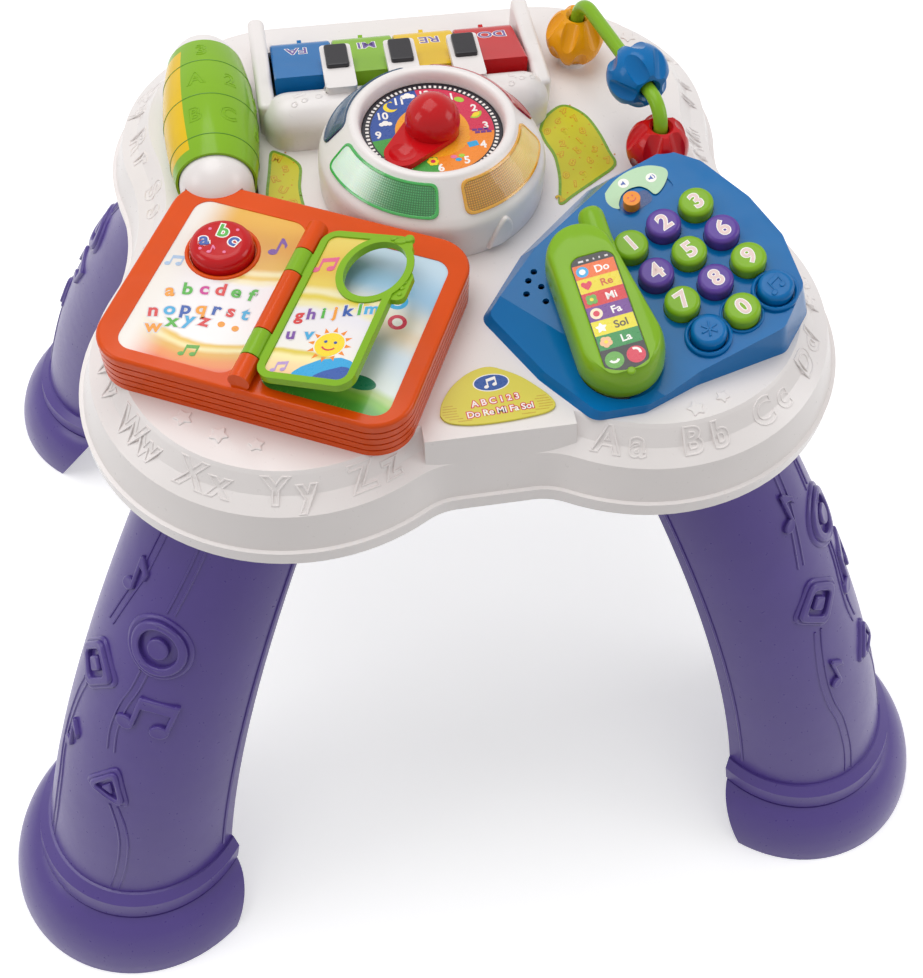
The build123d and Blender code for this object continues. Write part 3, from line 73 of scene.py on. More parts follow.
def seen_white(tree):
    """One for rays from the camera and for what gloss and clear plastic show."""
    rays = add_node(tree, "ShaderNodeLightPath").outputs
    first = add_node(
        tree,
        "ShaderNodeMath",
        {0: rays["Is Camera Ray"], 1: rays["Is Glossy Ray"]},
        operation="MAXIMUM",
    )
    both = {0: first.outputs[0], 1: rays["Is Transmission Ray"]}
    return add_node(tree, "ShaderNodeMath", both, operation="MAXIMUM").outputs[0]


room_light = 0.5
world = bpy.data.worlds.new("white_room")
bpy.context.scene.world = world
world.use_nodes = True
world.node_tree.nodes.clear()
seen = seen_white(world.node_tree)
level_range = {"Value": seen, "To Min": room_light, "To Max": 1.0}
level = add_node(world.node_tree, "ShaderNodeMapRange", level_range)
sky = add_node(world.node_tree, "ShaderNodeBackground", {"Strength": level.outputs[0]})
sky.inputs["Color"].default_value = (1, 1, 1, 1)
add_node(world.node_tree, "ShaderNodeOutputWorld", {"Surface": sky.outputs[0]})

# Painted floor: diffuse white that keeps the shadow, lifted to white where it is seen.
floor_lift = 0.44
mottles_per_metre = 3.0     # roller marks in the paint, about 33 cm apart
floor_tones = (0.84, 0.86)
floor_paint, tree = empty_material("matt_white_floor_paint")
place = add_node(tree, "ShaderNodeTexCoord").outputs["Object"]
mottle = add_node(tree, "ShaderNodeTexNoise", {"Vector": place, "Scale": mottles_per_metre})
tone_range = {"Value": mottle.outputs[0], "To Min": floor_tones[0], "To Max": floor_tones[1]}
tone = add_node(tree, "ShaderNodeMapRange", tone_range)
matt = add_node(tree, "ShaderNodeBsdfDiffuse", {"Color": tone.outputs[0]})
lift = add_node(tree, "ShaderNodeMath", {0: seen_white(tree), 1: floor_lift}, operation="MULTIPLY")
glow = add_node(tree, "ShaderNodeEmission", {"Strength": lift.outputs[0]})
both = add_node(tree, "ShaderNodeAddShader", {0: matt.outputs[0], 1: glow.outputs[0]})
add_node(tree, "ShaderNodeOutputMaterial", {"Surface": both.outputs[0]})
floor_reach = 6.0
floor_mesh = bpy.data.meshes.new("floor")
corners = [(-1, -1), (1, -1), (1, 1), (-1, 1)]
floor_corners = [(x * floor_reach, y * floor_reach, 0) for x, y in corners]
floor_mesh.from_pydata(floor_corners, [], [(0, 1, 2, 3)])
floor_mesh.materials.append(floor_paint)
floor = bpy.data.objects.new("floor", floor_mesh)
bpy.context.scene.collection.objects.link(floor)


def softbox(name, spot, size, power):
    """A square lamp that faces the middle of the tabletop."""
    light = bpy.data.lights.new(name, "AREA")
    light.size = size
    light.energy = power
    lamp = bpy.data.objects.new(name, light)
    lamp.location = spot
    towards_table = Vector((0, 0, 0.3)) - Vector(spot)
    lamp.rotation_euler = towards_table.to_track_quat("-Z", "Y").to_euler()
    bpy.context.scene.collection.objects.link(lamp)


softbox("overhead_softbox", (-0.25, 0.35, 1.7), 1.1, 11)
softbox("right_softbox", (1.35, -0.25, 0.95), 0.7, 4.4)
softbox("left_softbox", (-1.3, -0.1, 1.0), 0.6, 3)

# Camera: a standing grown-up's view from the front left, looking well down.
camera_spot = Vector((-0.0869, -0.4844, 0.8380))
camera_azimuth = radians(12.34)
camera_dip = radians(56.45)
camera_roll = radians(2.95)
ahead = Vector(
    (
        sin(camera_azimuth) * cos(camera_dip),
        cos(camera_azimuth) * cos(camera_dip),
        -sin(camera_dip),
    )
)
level_right = Vector((cos(camera_azimuth), -sin(camera_azimuth), 0))
level_up = level_right.cross(ahead)
right = level_right * cos(camera_roll) + level_up * sin(camera_roll)
above = level_up * cos(camera_roll) - level_right * sin(camera_roll)
lens = bpy.data.cameras.new("camera")
lens.sensor_fit = "AUTO"
lens.sensor_width = 36
lens.lens = 47.85
camera = bpy.data.objects.new("camera", lens)
camera_turn = Matrix((right, above, -ahead)).transposed().to_4x4()
camera.matrix_world = Matrix.Translation(camera_spot) @ camera_turn
bpy.context.scene.collection.objects.link(camera)
bpy.context.scene.camera = camera
bpy.context.scene.view_settings.view_transform = "Standard"

# ---- Tabletop shells -----------------------------------------------------------------
# Two injection-moulded ABS shells, screwed together under the deck. The warm white plastic
# has an even satin gloss, and capital and small letters raised in outline all round its skirt.
mm = 0.001


def moulded(
    name, colour, roughness=0.28, flow=0.05, wave=0.25, coat=0.0, subsurface=0.0, shine=0.5
):
    """Moulded plastic: even colour with faint flow clouds, gloss that varies a little from
    place to place, and the slight waviness of a wall that shrank in its mould."""
    clouds_per_metre = 28.0     # flow clouds about 36 mm wide
    grain_per_metre = 420.0     # 0.2 mm mould grain, drawn 2.4 mm wide so that it shows
    swells_per_metre = 60.0     # shrinkage waves about 17 mm apart
    swell_height = 0.0006
    plastic_ior = 1.5
    material, tree = empty_material(name)
    place = add_node(tree, "ShaderNodeTexCoord").outputs["Object"]
    cloud_noise = {"Vector": place, "Scale": clouds_per_metre, "Detail": 3.0}
    clouds = add_node(tree, "ShaderNodeTexNoise", cloud_noise)
    shade = add_node(
        tree,
        "ShaderNodeMapRange",
        {
            "Value": clouds.outputs[0],
            "From Min": 0.3,
            "From Max": 0.7,
            "To Min": 1 - flow,
            "To Max": 1.0,
        },
    )
    mixed = add_node(
        tree,
        "ShaderNodeMix",
        {0: 1.0, 6: linear(colour), 7: shade.outputs[0]},
        data_type="RGBA",
        blend_type="MULTIPLY",
    )
    grain_noise = {"Vector": place, "Scale": grain_per_metre, "Detail": 2.0}
    grain = add_node(tree, "ShaderNodeTexNoise", grain_noise)
    gloss = add_node(
        tree,
        "ShaderNodeMapRange",
        {"Value": grain.outputs[0], "To Min": roughness * 0.8, "To Max": roughness * 1.2},
    )
    swell_noise = {"Vector": place, "Scale": swells_per_metre, "Detail": 1.0}
    swell = add_node(tree, "ShaderNodeTexNoise", swell_noise)
    dent = add_node(
        tree,
        "ShaderNodeBump",
        {"Height": swell.outputs[0], "Strength": wave, "Distance": swell_height},
    )
    plastic = add_node(
        tree,
        "ShaderNodeBsdfPrincipled",
        {
            "Base Color": mixed.outputs[2],
            "Roughness": gloss.outputs[0],
            "Normal": dent.outputs[0],
            "IOR": plastic_ior,
            "Specular IOR Level": shine,
            "Coat Weight": coat,
            "Coat Roughness": 0.08,
            "Subsurface Weight": subsurface,
            "Subsurface Scale": 0.002,
        },
    )
    add_node(tree, "ShaderNodeOutputMaterial", {"Surface": plastic.outputs[0]})
    return material


def finish(material, *names):
    """Gives CAD pieces their material."""
    for name in names:
        nodes[name].data.materials.clear()
        nodes[name].data.materials.append(material)


# White ABS from a satin-polished mould: broad soft highlights on an even warm white.
white_abs = moulded("warm_white_moulded_ABS", "E9E3E1", roughness=0.3, flow=0.03)
finish(white_abs, "top_shell", "bottom_shell", "battery_door")


def stand(origin, x_dir, z_dir):
    """A place to build on: its origin in millimetres, which way its X runs and what it faces."""
    facing = Vector(z_dir).normalized()
    along = Vector(x_dir)
    along = (along - facing * along.dot(facing)).normalized()
    turned = Matrix((along, facing.cross(along), facing)).transposed().to_4x4()
    return Matrix.Translation(Vector(origin) * mm) @ turned


def at(place, x, y, z=0.0, turn=0.0):
    """A spot on a place, in millimetres, turned about the way that the place faces."""
    moved = Matrix.Translation(Vector((x, y, z)) * mm)
    return place @ moved @ Matrix.Rotation(radians(turn), 4, "Z")


def mesh_of(curve):
    """The mesh that a text or a flat curve makes. The curve itself is removed."""
    holder = bpy.data.objects.new("blank", curve)
    bpy.context.scene.collection.objects.link(holder)
    sight = bpy.context.evaluated_depsgraph_get()
    mesh = bpy.data.meshes.new_from_object(holder.evaluated_get(sight))
    bpy.data.objects.remove(holder)
    bpy.data.curves.remove(curve)
    return mesh


def letters(text, height, rise=0.1, bold=0.0, ridge=0.0, centred=True, narrow=1.0):
    """Lettering of a capital height in millimetres: a flat print, or with ridge its raised
    outline. It stands on its own baseline, or is centred on what it draws."""
    capital_share = 0.72    # height of a capital as a share of the type size
    curve = bpy.data.curves.new("letters", "FONT")
    curve.body = text
    curve.size = height * mm / capital_share
    curve.align_x = "CENTER"
    curve.resolution_u = 4
    curve.offset = bold * mm
    if ridge:
        curve.fill_mode = "NONE"
        curve.bevel_depth = ridge * mm
        curve.bevel_resolution = 1
    else:
        curve.extrude = rise * mm
    mesh = mesh_of(curve)
    if not mesh.vertices:
        return mesh
    ys = [v.co.y for v in mesh.vertices]
    drop = (min(ys) + max(ys)) / 2 if centred else 0.0
    for v in mesh.vertices:
        v.co.x *= narrow
        v.co.y -= drop
    return mesh


def plate(outlines, height, bevel=0.0, ridge=0.0):
    """A flat raised shape in millimetres, drawn by closed outlines; an outline inside another
    is a hole. With ridge it is only a raised line along them."""
    curve = bpy.data.curves.new("plate", "CURVE")
    curve.dimensions = "2D"
    for outline in outlines:
        spline = curve.splines.new("POLY")
        spline.points.add(len(outline) - 1)
        for point, (x, y) in zip(spline.points, outline):
            point.co = (x * mm, y * mm, 0, 1)
        spline.use_cyclic_u = True
    curve.bevel_resolution = 2
    if ridge:
        curve.fill_mode = "NONE"
        curve.bevel_depth = ridge * mm
    else:
        curve.fill_mode = "BOTH"
        curve.bevel_depth = bevel * mm
        curve.offset = -bevel * mm
        curve.extrude = max(height - bevel, 0.01) * mm
    return mesh_of(curve)


def circle(radius, x=0.0, y=0.0, steps=36, squeeze=1.0, turn=0.0):
    """Points of a circle, or of an ellipse turned by some degrees."""
    spots = []
    for step in range(steps):
        a = 2 * pi * step / steps
        u, v = radius * cos(a), radius * squeeze * sin(a)
        c, s = cos(radians(turn)), sin(radians(turn))
        spots.append((x + u * c - v * s, y + u * s + v * c))
    return spots


def rounded(corners, radius, steps=6):
    """A polygon with its corners rounded off."""
    spots = []
    count = len(corners)
    for i in range(count):
        here = Vector(corners[i])
        to_last = Vector(corners[i - 1]) - here
        to_next = Vector(corners[(i + 1) % count]) - here
        before, after = to_last.normalized(), to_next.normalized()
        half = before.angle(after) / 2
        tangent = radius / max(sin(half), 0.05) * cos(half)
        reach = min(tangent, 0.49 * min(to_last.length, to_next.length))
        start, end = here + before * reach, here + after * reach
        for step in range(steps + 1):
            t = step / steps
            spots.append(tuple(start * (1 - t) ** 2 + here * 2 * t * (1 - t) + end * t * t))
    return spots


def star(radius, points=5):
    """Corners of a star that stands on its legs, with a waist half as wide."""
    spots = []
    for i in range(2 * points):
        reach = radius * (1 if i % 2 == 0 else 0.5)
        a = radians(90.0 + 180 * i / points)
        spots.append((reach * cos(a), reach * sin(a)))
    return spots


surfaces = {}


def surface_of(node):
    """The surface of a CAD piece, ready to have shapes laid on it."""
    if node not in surfaces:
        mesh = nodes[node].data
        corners = [v.co.copy() for v in mesh.vertices]
        faces = [tuple(p.vertices) for p in mesh.polygons]
        surfaces[node] = BVHTree.FromPolygons(corners, faces)
    return surfaces[node]


def assemble(name, shapes, body, onto=None, drop=0.03):
    """One piece from many shapes, each given as a mesh, its place and its material. With onto,
    every point is dropped along its place's facing onto that CAD piece, and keeps its height
    above it."""
    points, faces, numbers, materials = [], [], [], []
    for mesh, place, material in shapes:
        if material not in materials:
            materials.append(material)
        number = materials.index(material)
        start = len(points)
        down = -(place.to_3x3() @ Vector((0, 0, 1))).normalized()
        for vertex in mesh.vertices:
            spot = place @ vertex.co
            if onto:
                above_spot = spot - down * (drop - vertex.co.z)
                hit = surface_of(onto).ray_cast(above_spot, down, 3 * drop)[0]
                if hit is None:
                    hit = surface_of(onto).find_nearest(spot)[0]
                spot = hit - down * vertex.co.z
            points.append(spot)
        for polygon in mesh.polygons:
            faces.append([start + i for i in polygon.vertices])
            numbers.append(number)
    for mesh in {id(m): m for m, _, _ in shapes}.values():
        bpy.data.meshes.remove(mesh)
    mesh = bpy.data.meshes.new(name)
    mesh.from_pydata(points, [], faces)
    for material in materials:
        mesh.materials.append(material)
    mesh.polygons.foreach_set("material_index", numbers)
    mesh.shade_smooth()
    sharp_past = radians(40)
    mesh.set_sharp_from_angle(angle=sharp_past)
    piece = bpy.data.objects.new(name, mesh)
    bpy.context.scene.collection.objects.link(piece)
    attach(piece, body)
    return piece


# The skirt's run, found on the shell itself at the middle of the letter band.
deck_z = 365.0
band_z = 357.6
band_steps = 360
band_start = -88        # degrees, at the middle of the label block
beyond_top = 0.4        # metres, outside the tabletop
band_run = []
for step in range(band_steps):
    turn = radians(band_start + 360 * step / band_steps)
    outward = Vector((cos(turn), sin(turn), 0))
    start = outward * beyond_top + Vector((0, 0, band_z * mm))
    band_run.append(surface_of("top_shell").ray_cast(start, -outward)[0])
band_marks = [0.0]
for one, two in zip(band_run, band_run[1:] + band_run[:1]):
    band_marks.append(band_marks[-1] + (two - one).length)


def band_place(length):
    """The place on the skirt at a length along it, counter-clockwise from the front."""
    length %= band_marks[-1]
    i = max(k for k in range(band_steps) if band_marks[k] <= length)
    share = (length - band_marks[i]) / (band_marks[i + 1] - band_marks[i])
    one, two = band_run[i], band_run[(i + 1) % band_steps]
    before, after = band_run[i - 2], band_run[(i + 3) % band_steps]
    along = (after - before).normalized()
    outward = along.cross(Vector((0, 0, 1)))
    spot = one.lerp(two, share)
    band_slope = radians(38)
    facing = outward * sin(band_slope) + Vector((0, 0, 1)) * cos(band_slope)
    return stand(spot / mm, along, facing)


def band_length(x, y):
    """The length along the skirt that is nearest to a point of the plan."""
    spot = Vector((x * mm, y * mm, band_z * mm))
    nearest = min(range(band_steps), key=lambda k: (band_run[k] - spot).length)
    return band_marks[nearest]


# The alphabet in pairs: A to M run to the right from the label and N to Z come back to it from
# the left, with a plain gap where the two halves meet at the rear.
pair_step = 39.3 * mm
first_pair = band_length(57, -163)
last_pair = band_length(-53, -163)
letter_height = 12.5
half_pair = 7.0
below_middle = 5.2      # the letters' baseline below the band's middle
alphabet = "ABCDEFGHIJKLMNOPQRSTUVWXYZ"
raised = []
for number, capital in enumerate(alphabet):
    from_front = first_pair + pair_step * number
    from_end = last_pair - pair_step * (len(alphabet) - 1 - number)
    middle = from_front if number < len(alphabet) / 2 else from_end
    for text, shift in ((capital, -half_pair), (capital.lower(), half_pair)):
        shape = letters(text, letter_height, ridge=0.5, bold=0.5, centred=False)
        spot = at(band_place(middle + shift * mm), 0, -below_middle)
        raised.append((shape, spot, white_abs))
assemble("skirt_letters", raised, "table", onto="top_shell")

# Small rounded stars on the deck's corners: x, y, radius and turn.
deck = stand((0, 0, deck_z), (1, 0, 0), (0, 0, 1))
star_spots = [
    (-137, -121, 5.5, 10),
    (-122, -133, 5.5, 30),
    (-106, -141, 4.6, -5),
    (94, -151, 5.2, 12),
    (108, -146, 4.2, 40),
    (127, 112, 5.2, 20),
    (-122, 118, 5.2, 0),
]
stars = []
for x, y, radius, turn in star_spots:
    outline = rounded(star(radius), 1.2, 3)
    stars.append((plate([outline], 0.7, bevel=0.5), at(deck, x, y, 0, turn), white_abs))
    inner = rounded(star(radius * 0.52), 0.6, 2)
    stars.append((plate([inner], 0, ridge=0.28), at(deck, x, y, 1.2, turn), white_abs))
assemble("deck_stars", stars, "table", onto="top_shell")

# ---- Legs ----------------------------------------------------------------------------
# Four identical ABS injection mouldings that push into the tabletop: a bowed C-section with a
# collar and a bell foot. Notes, rings and ribbons are raised in the mould on the outer face.
# Purple ABS, satin all over: broad sheen, with faint flow clouds down the long wall.
purple_abs = moulded("purple_moulded_ABS", "503C8C", roughness=0.3, flow=0.07, wave=0.35)
leg_angles = {
    "leg_front_left": 220.0,
    "leg_front_right": -40.0,
    "leg_rear_left": 140.0,
    "leg_rear_right": 40.0,
}
finish(purple_abs, *leg_angles)
leg_top_z = 325.0
foot_reach = 283.5
top_reach = 128.3
leg_bow = 24.6
leg_low_radius = 62.0
leg_high_radius = 43.6


def leg_spot(height, round_angle, angle):
    """The place on a leg at a height and at degrees round it from its outer side."""
    share = height / leg_top_z
    splay = foot_reach - top_reach
    reach = foot_reach - splay * share + 4 * leg_bow * share * (1 - share)
    lean = (-splay + 4 * leg_bow * (1 - 2 * share)) / leg_top_z
    radius = leg_low_radius + (leg_high_radius - leg_low_radius) * share
    swing = Matrix.Rotation(radians(angle), 3, "Z")
    out = Vector((cos(radians(round_angle)), sin(radians(round_angle)), 0))
    spine = Vector((lean, 0, 1)).normalized()
    facing = (out - spine * out.dot(spine)).normalized()
    spot = Vector((reach, 0, height)) + out * radius
    return stand(swing @ spot, swing @ spine.cross(facing), swing @ facing)


def note_outlines(size, pair=False):
    """A music note of a height: leaning heads on stems, with a beam or a flag."""
    s = size / 20
    if pair:
        beam = [(-6 * s, 7 * s), (7 * s, 10 * s), (7 * s, 5 * s), (-6 * s, 2 * s)]
        stems = [(-6.8, -7, 7), (5.8, -4, 10)]
        parts = [rounded(beam, 0.8 * s, 2)]
        for x, low, high in stems:
            stem = [(x, low), (x + 2, low), (x + 2, high), (x, high)]
            parts.append(rounded([(u * s, v * s) for u, v in stem], 0.5 * s, 2))
        parts.append(circle(3.6 * s, -8.2 * s, -7 * s, 20, 0.78, 20))
        parts.append(circle(3.6 * s, 4.4 * s, -4 * s, 20, 0.78, 20))
        return parts
    stem = rounded([(0, -6 * s), (2 * s, -6 * s), (2 * s, 10 * s), (0, 10 * s)], 0.6 * s, 2)
    flag_shape = [(0, 10), (2, 10), (7, 4), (6.4, -1), (4.6, 3.4), (0, 5.5)]
    flag = rounded([(x * s, y * s) for x, y in flag_shape], 1.2 * s, 3)
    head = circle(3.8 * s, -1.6 * s, -6.4 * s, 20, 0.78, 20)
    return [stem, flag, head]


# Height on the leg, degrees round it, size, whether a pair, and turn.
leg_notes = [
    (259, -13, 24, False, 0),
    (151, -24, 22, False, 8),
    (194, 29, 30, True, -6),
]
# Ribbons as runs of height and degrees round the leg.
ribbons = [
    [(318, -4), (300, -3), (280, -5), (262, -8), (245, -14), (228, -20)],
    [(318, 22), (298, 24), (280, 24), (264, 22), (252, 20)],
    [(219, 16), (208, 14), (196, 10), (180, 8), (166, 10)],
    [(186, -26), (172, -30), (150, -33), (130, -32), (112, -28), (84, -26), (60, -27)],
    [(130, 20), (118, 26), (104, 30), (88, 31), (72, 30), (60, 28)],
]


def surface_line(node, places, ridge):
    """A raised line over a CAD piece through some places, as a mesh in the table's frame."""
    curve = bpy.data.curves.new("line", "CURVE")
    curve.dimensions = "3D"
    spline = curve.splines.new("POLY")
    spots = []
    for place in places:
        down = -(place.to_3x3() @ Vector((0, 0, 1))).normalized()
        hit = surface_of(node).ray_cast(place.translation - down * 0.03, down, 0.09)[0]
        if hit is not None:
            spots.append(hit)
    spline.points.add(len(spots) - 1)
    for point, spot in zip(spline.points, spots):
        point.co = (*spot, 1)
    curve.bevel_depth = ridge * mm
    curve.bevel_resolution = 1
    curve.use_fill_caps = True
    return mesh_of(curve)


def smooth_run(points, steps=6):
    """More points along a line through the given ones, on Catmull-Rom arcs."""
    padded = [points[0], *points, points[-1]]
    spots = []
    for i in range(1, len(padded) - 2):
        for step in range(steps):
            t = step / steps
            blend = [
                0.5
                * (
                    2 * b
                    + (c - a) * t
                    + (2 * a - 5 * b + 4 * c - d) * t * t
                    + (3 * b - a - 3 * c + d) * t**3
                )
                for a, b, c, d in zip(*padded[i - 1 : i + 3])
            ]
            spots.append(blend)
    spots.append(points[-1])
    return spots


unmoved = Matrix.Identity(4)
edge_side = 97      # degrees round the leg at which its long edges' beads run
for leg_name, angle in leg_angles.items():
    pads = []
    disc = leg_spot(234, 20, angle)
    pads.append((plate([circle(19)], 1.6, bevel=1.4), disc, purple_abs))
    pads.append((plate([circle(16), circle(11)], 3.2, bevel=1.2), disc, purple_abs))
    pads.append((plate([circle(6.2)], 3.0, bevel=1.2), disc, purple_abs))
    diamond = leg_spot(203, -19, angle)
    for size, inner, height in ((20, None, 1.6), (17, 10.5, 3.2), (6, None, 2.8)):
        outlines = [rounded([(size, 0), (0, size), (-size, 0), (0, -size)], size * 0.35)]
        if inner:
            hole = [(inner, 0), (0, inner), (-inner, 0), (0, -inner)]
            outlines.append(rounded(hole, inner * 0.3))
        pads.append((plate(outlines, height, bevel=1.2), diamond, purple_abs))
    wedge = at(leg_spot(143, 15, angle), 0, 0, 0, -8)
    for size, inner, height in ((19, None, 1.6), (15.5, 9.5, 3.2), (5, None, 2.8)):
        outlines = [rounded(star(size, 3), size * 0.3)]
        if inner:
            outlines.append(rounded(star(inner, 3), inner * 0.2))
        pads.append((plate(outlines, height, bevel=1.1), wedge, purple_abs))
    for height, round_angle, size, pair, turn in leg_notes:
        for outline in note_outlines(size, pair):
            place = at(leg_spot(height, round_angle, angle), 0, 0, 0, turn)
            pads.append((plate([outline], 2.2, bevel=0.9), place, purple_abs))
    assemble(f"{leg_name}_reliefs", pads, "table", onto=leg_name)
    lines = []
    for ribbon in ribbons:
        for shift in (-2.6, 2.6):
            run = [leg_spot(z, a + shift, angle) for z, a in smooth_run(ribbon)]
            lines.append((surface_line(leg_name, run, 0.75), unmoved, purple_abs))
    for side in (-edge_side, edge_side):
        run = [leg_spot(z, side, angle) for z in range(64, 320, 8)]
        lines.append((surface_line(leg_name, run, 1.1), unmoved, purple_abs))
    assemble(f"{leg_name}_ribbons", lines, "table")

# ---- Label plate ---------------------------------------------------------------------
# A thin half-oval plate glued on the front block, offset-printed on yellow film with stripes, a
# blue badge with a music note, and white letters and numbers in a red outline.
inks = {}


def ink(name, colour):
    """Offset printing ink under clear film: flat colour with the film's even soft gloss. Made
    once for each colour."""
    if name not in inks:
        inks[name] = moulded(f"{name}_offset_ink", colour, roughness=0.28, flow=0.04, wave=0.0)
    return inks[name]


def outlines_of(node, place, height):
    """Outlines of a CAD piece's flat face at a height on a place, as loops in millimetres."""
    back = place.inverted()
    spots = [(back @ v.co) / mm for v in nodes[node].data.vertices]
    keys = [(round(s.x, 2), round(s.y, 2)) for s in spots]
    follow = {}
    for polygon in nodes[node].data.polygons:
        if all(abs(spots[i].z - height) < 0.05 for i in polygon.vertices):
            ring = [keys[i] for i in polygon.vertices]
            for one, two in zip(ring, ring[1:] + ring[:1]):
                if (two, one) in follow:
                    del follow[(two, one)]
                else:
                    follow[(one, two)] = True
    ahead_of = dict(follow.keys())
    loops = []
    while ahead_of:
        first, spot = ahead_of.popitem()
        loop = [first]
        while spot != first and spot in ahead_of:
            loop.append(spot)
            spot = ahead_of.pop(spot)
        loops.append(loop)
    return sorted(loops, key=len, reverse=True)


def inset(loop, distance):
    """A closed outline drawn a distance inside."""
    after = loop[1:] + loop[:1]
    area = sum(x0 * y1 - x1 * y0 for (x0, y0), (x1, y1) in zip(loop, after))
    side = distance if area > 0 else -distance
    spots = []
    for (ax, ay), (x, y), (bx, by) in zip(loop[-1:] + loop[:-1], loop, after):
        length = max(hypot(bx - ax, by - ay), 1e-6)
        spots.append((x - (by - ay) / length * side, y + (bx - ax) / length * side))
    return spots


def crossings(loop, y):
    """Where a closed outline crosses a height, from left to right."""
    found = []
    for (x0, y0), (x1, y1) in zip(loop, loop[1:] + loop[:1]):
        if (y0 > y) != (y1 > y):
            found.append(x0 + (x1 - x0) * (y - y0) / (y1 - y0))
    return sorted(found)


def printed(outlines, rise, place, fill):
    """Printed shapes that may overlap, each laid a little over the last."""
    layer = 0.03
    return [(plate([one], rise + layer * i), place, fill) for i, one in enumerate(outlines)]


def lettering(text, height, place, fill, edge, width=0.4, bold=0.1, lift=0.06, **shape):
    """Printed letters with an outline in another ink."""
    layer = 0.07
    under = letters(text, height, rise=lift, bold=bold + width, **shape)
    over = letters(text, height, rise=lift + layer, bold=bold, **shape)
    return [(under, place, edge), (over, place, fill)]


# Yellow polyester film under varnish: an even, smooth soft gloss.
label_film = moulded("yellow_label_film", "D9CD45", roughness=0.3, flow=0.05)
finish(label_film, "label_plate")
label = stand((3, -144.5, deck_z), (1, 0, 0), (0, 0, 1))
label_top = at(label, 0, 0, 1.2)
label_width, label_depth = 55.0, 31.0
label_shares = [
    (-0.47, 0.21), (-0.44, 0.41), (-0.34, 0.68), (-0.2, 0.89), (-0.07, 0.99), (0.03, 1.0),
    (0.12, 0.93), (0.27, 0.75), (0.39, 0.52), (0.47, 0.33), (0.5, 0.16), (0.43, 0.05),
    (0.26, 0.0), (0.06, -0.03), (-0.18, -0.03), (-0.35, 0.02), (-0.44, 0.1), (-0.47, 0.21),
]
label_corners = [(x * label_width, y * label_depth) for x, y in label_shares]
label_outline = smooth_run(label_corners, 4)[:-1]
label_shapes = [(plate([label_outline], 0.6, bevel=0.3), at(label, 0, 0, 0.62), label_film)]
label_piece = assemble("label_badge", label_shapes, "table")
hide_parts("label_plate")
white_ink = ink("white", "F7F3EE")
stripe_ink = ink("ochre", "C9A632")
label_loop = inset(label_outline, 1.2)
prints = []
stripes, stripe_step, stripe_width = 7, 1.5, 0.45
for number in range(stripes):
    y = 1.6 + stripe_step * number
    top = y + stripe_width
    ends = crossings(label_loop, y)
    reach = 6.5 if number < stripes - 1 else 4.5
    for x0, x1 in ((ends[0], ends[0] + reach), (ends[-1] - reach, ends[-1])):
        stripe = plate([[(x0, y), (x1, y), (x1, top), (x0, top)]], 0.05)
        prints.append((stripe, label_top, stripe_ink))
badge = at(label_top, 0.5, 21.6, 0, 2)
prints.append((plate([circle(8.6, squeeze=0.58)], 0.06), badge, white_ink))
prints.append((plate([circle(8.0, squeeze=0.56)], 0.12), badge, ink("royal_blue", "1D4F9E")))
prints += printed(note_outlines(6.4, True), 0.18, badge, white_ink)
red_ink = ink("crimson", "D62A48")
for words, x, y, turn in (("A B C 1 2 3", 0.6, 11.4, 5), ("Do Re Mi Fa Sol", 1.8, 5.4, 3)):
    prints += lettering(words, 3.4, at(label_top, x, y, 0, turn), white_ink, red_ink, 0.45)
assemble("label_print", prints, "table")

# ---- Deck stickers -------------------------------------------------------------------
# Two die-cut vinyl films stuck either side of the dome, yellow-green with a darker green edge
# and scattered outlined numbers and letters.
# Printed vinyl: a soft gloss, with ink that is a little uneven from place to place.
sticker_film = moulded("yellow_green_sticker_film", "CFC61F", roughness=0.3, flow=0.16)
finish(sticker_film, "deck_stickers")
sticker_outlines = [
    [
        (-88.6, 6), (-87.4, 17.6), (-85.3, 30.2), (-83.7, 41.5), (-82.8, 45), (-80.8, 46.4),
        (-77.5, 44.4), (-73, 41), (-68.7, 35.4), (-67.6, 30.9), (-68.4, 24.5), (-69.5, 16.5),
        (-69, 5), (-67.4, -6), (-67.2, -12.6), (-74, -11.6), (-82.6, -4),
    ],
    [
        (60.4, 42), (64.6, 51), (71.8, 58), (77.7, 60.5), (83.3, 57.5), (89.1, 49.5), (92.8, 36.4),
        (94.8, 21.4), (95.5, 10.5), (84, 1.5), (75, -4.5), (66.4, -10.4), (62, -13.8), (59.4, -13),
        (60.6, -7), (63, 4), (64, 13.7), (64, 23), (61.5, 33),
    ],
]
sticker_loops = [smooth_run(outline + outline[:1], 4)[:-1] for outline in sticker_outlines]
films = [(plate([loop], 0.2), at(deck, 0, 0, 0.21), sticker_film) for loop in sticker_loops]
film_piece = assemble("deck_sticker_films", films, "table")
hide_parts("deck_stickers")
edge_ink = ink("leaf_green", "76A02C")
mark_ink = ink("pale_orange", "CE8F1C")
film_ink = ink("sticker_yellow", "D3C826")
sticker_top = at(deck, 0, 0, 0.42)
row_step, column_step = 8.2, 9.4
edge_width, clear_margin = 1.5, 4.2
prints = []
for loop in sticker_loops:
    marks = "2109867453" if loop[0][0] > 0 else "ABCDURSMTE"
    prints.append((plate([loop, inset(loop, edge_width)], 0.05), sticker_top, edge_ink))
    low, high = min(y for _, y in loop), max(y for _, y in loop)
    count = 0
    for row in range(int((high - low) / row_step) + 1):
        y = low + 4.5 + row * row_step
        ends = crossings(inset(loop, clear_margin), y)
        if len(ends) < 2:
            continue
        x = ends[0] + (row % 2) * column_step / 2
        while x <= ends[-1]:
            mark = marks[count % len(marks)]
            spot = at(sticker_top, x, y + sin(count * 1.7), 0, 30 * sin(2.4 * count + 1))
            prints += lettering(mark, 4.6, spot, film_ink, mark_ink, 0.42, bold=-0.02)
            dot = plate([circle(0.5, steps=10)], 0.05)
            prints.append((dot, at(sticker_top, x + 4.7, y + 3.4), mark_ink))
            count += 1
            x += column_step
assemble("deck_sticker_prints", prints, "table")

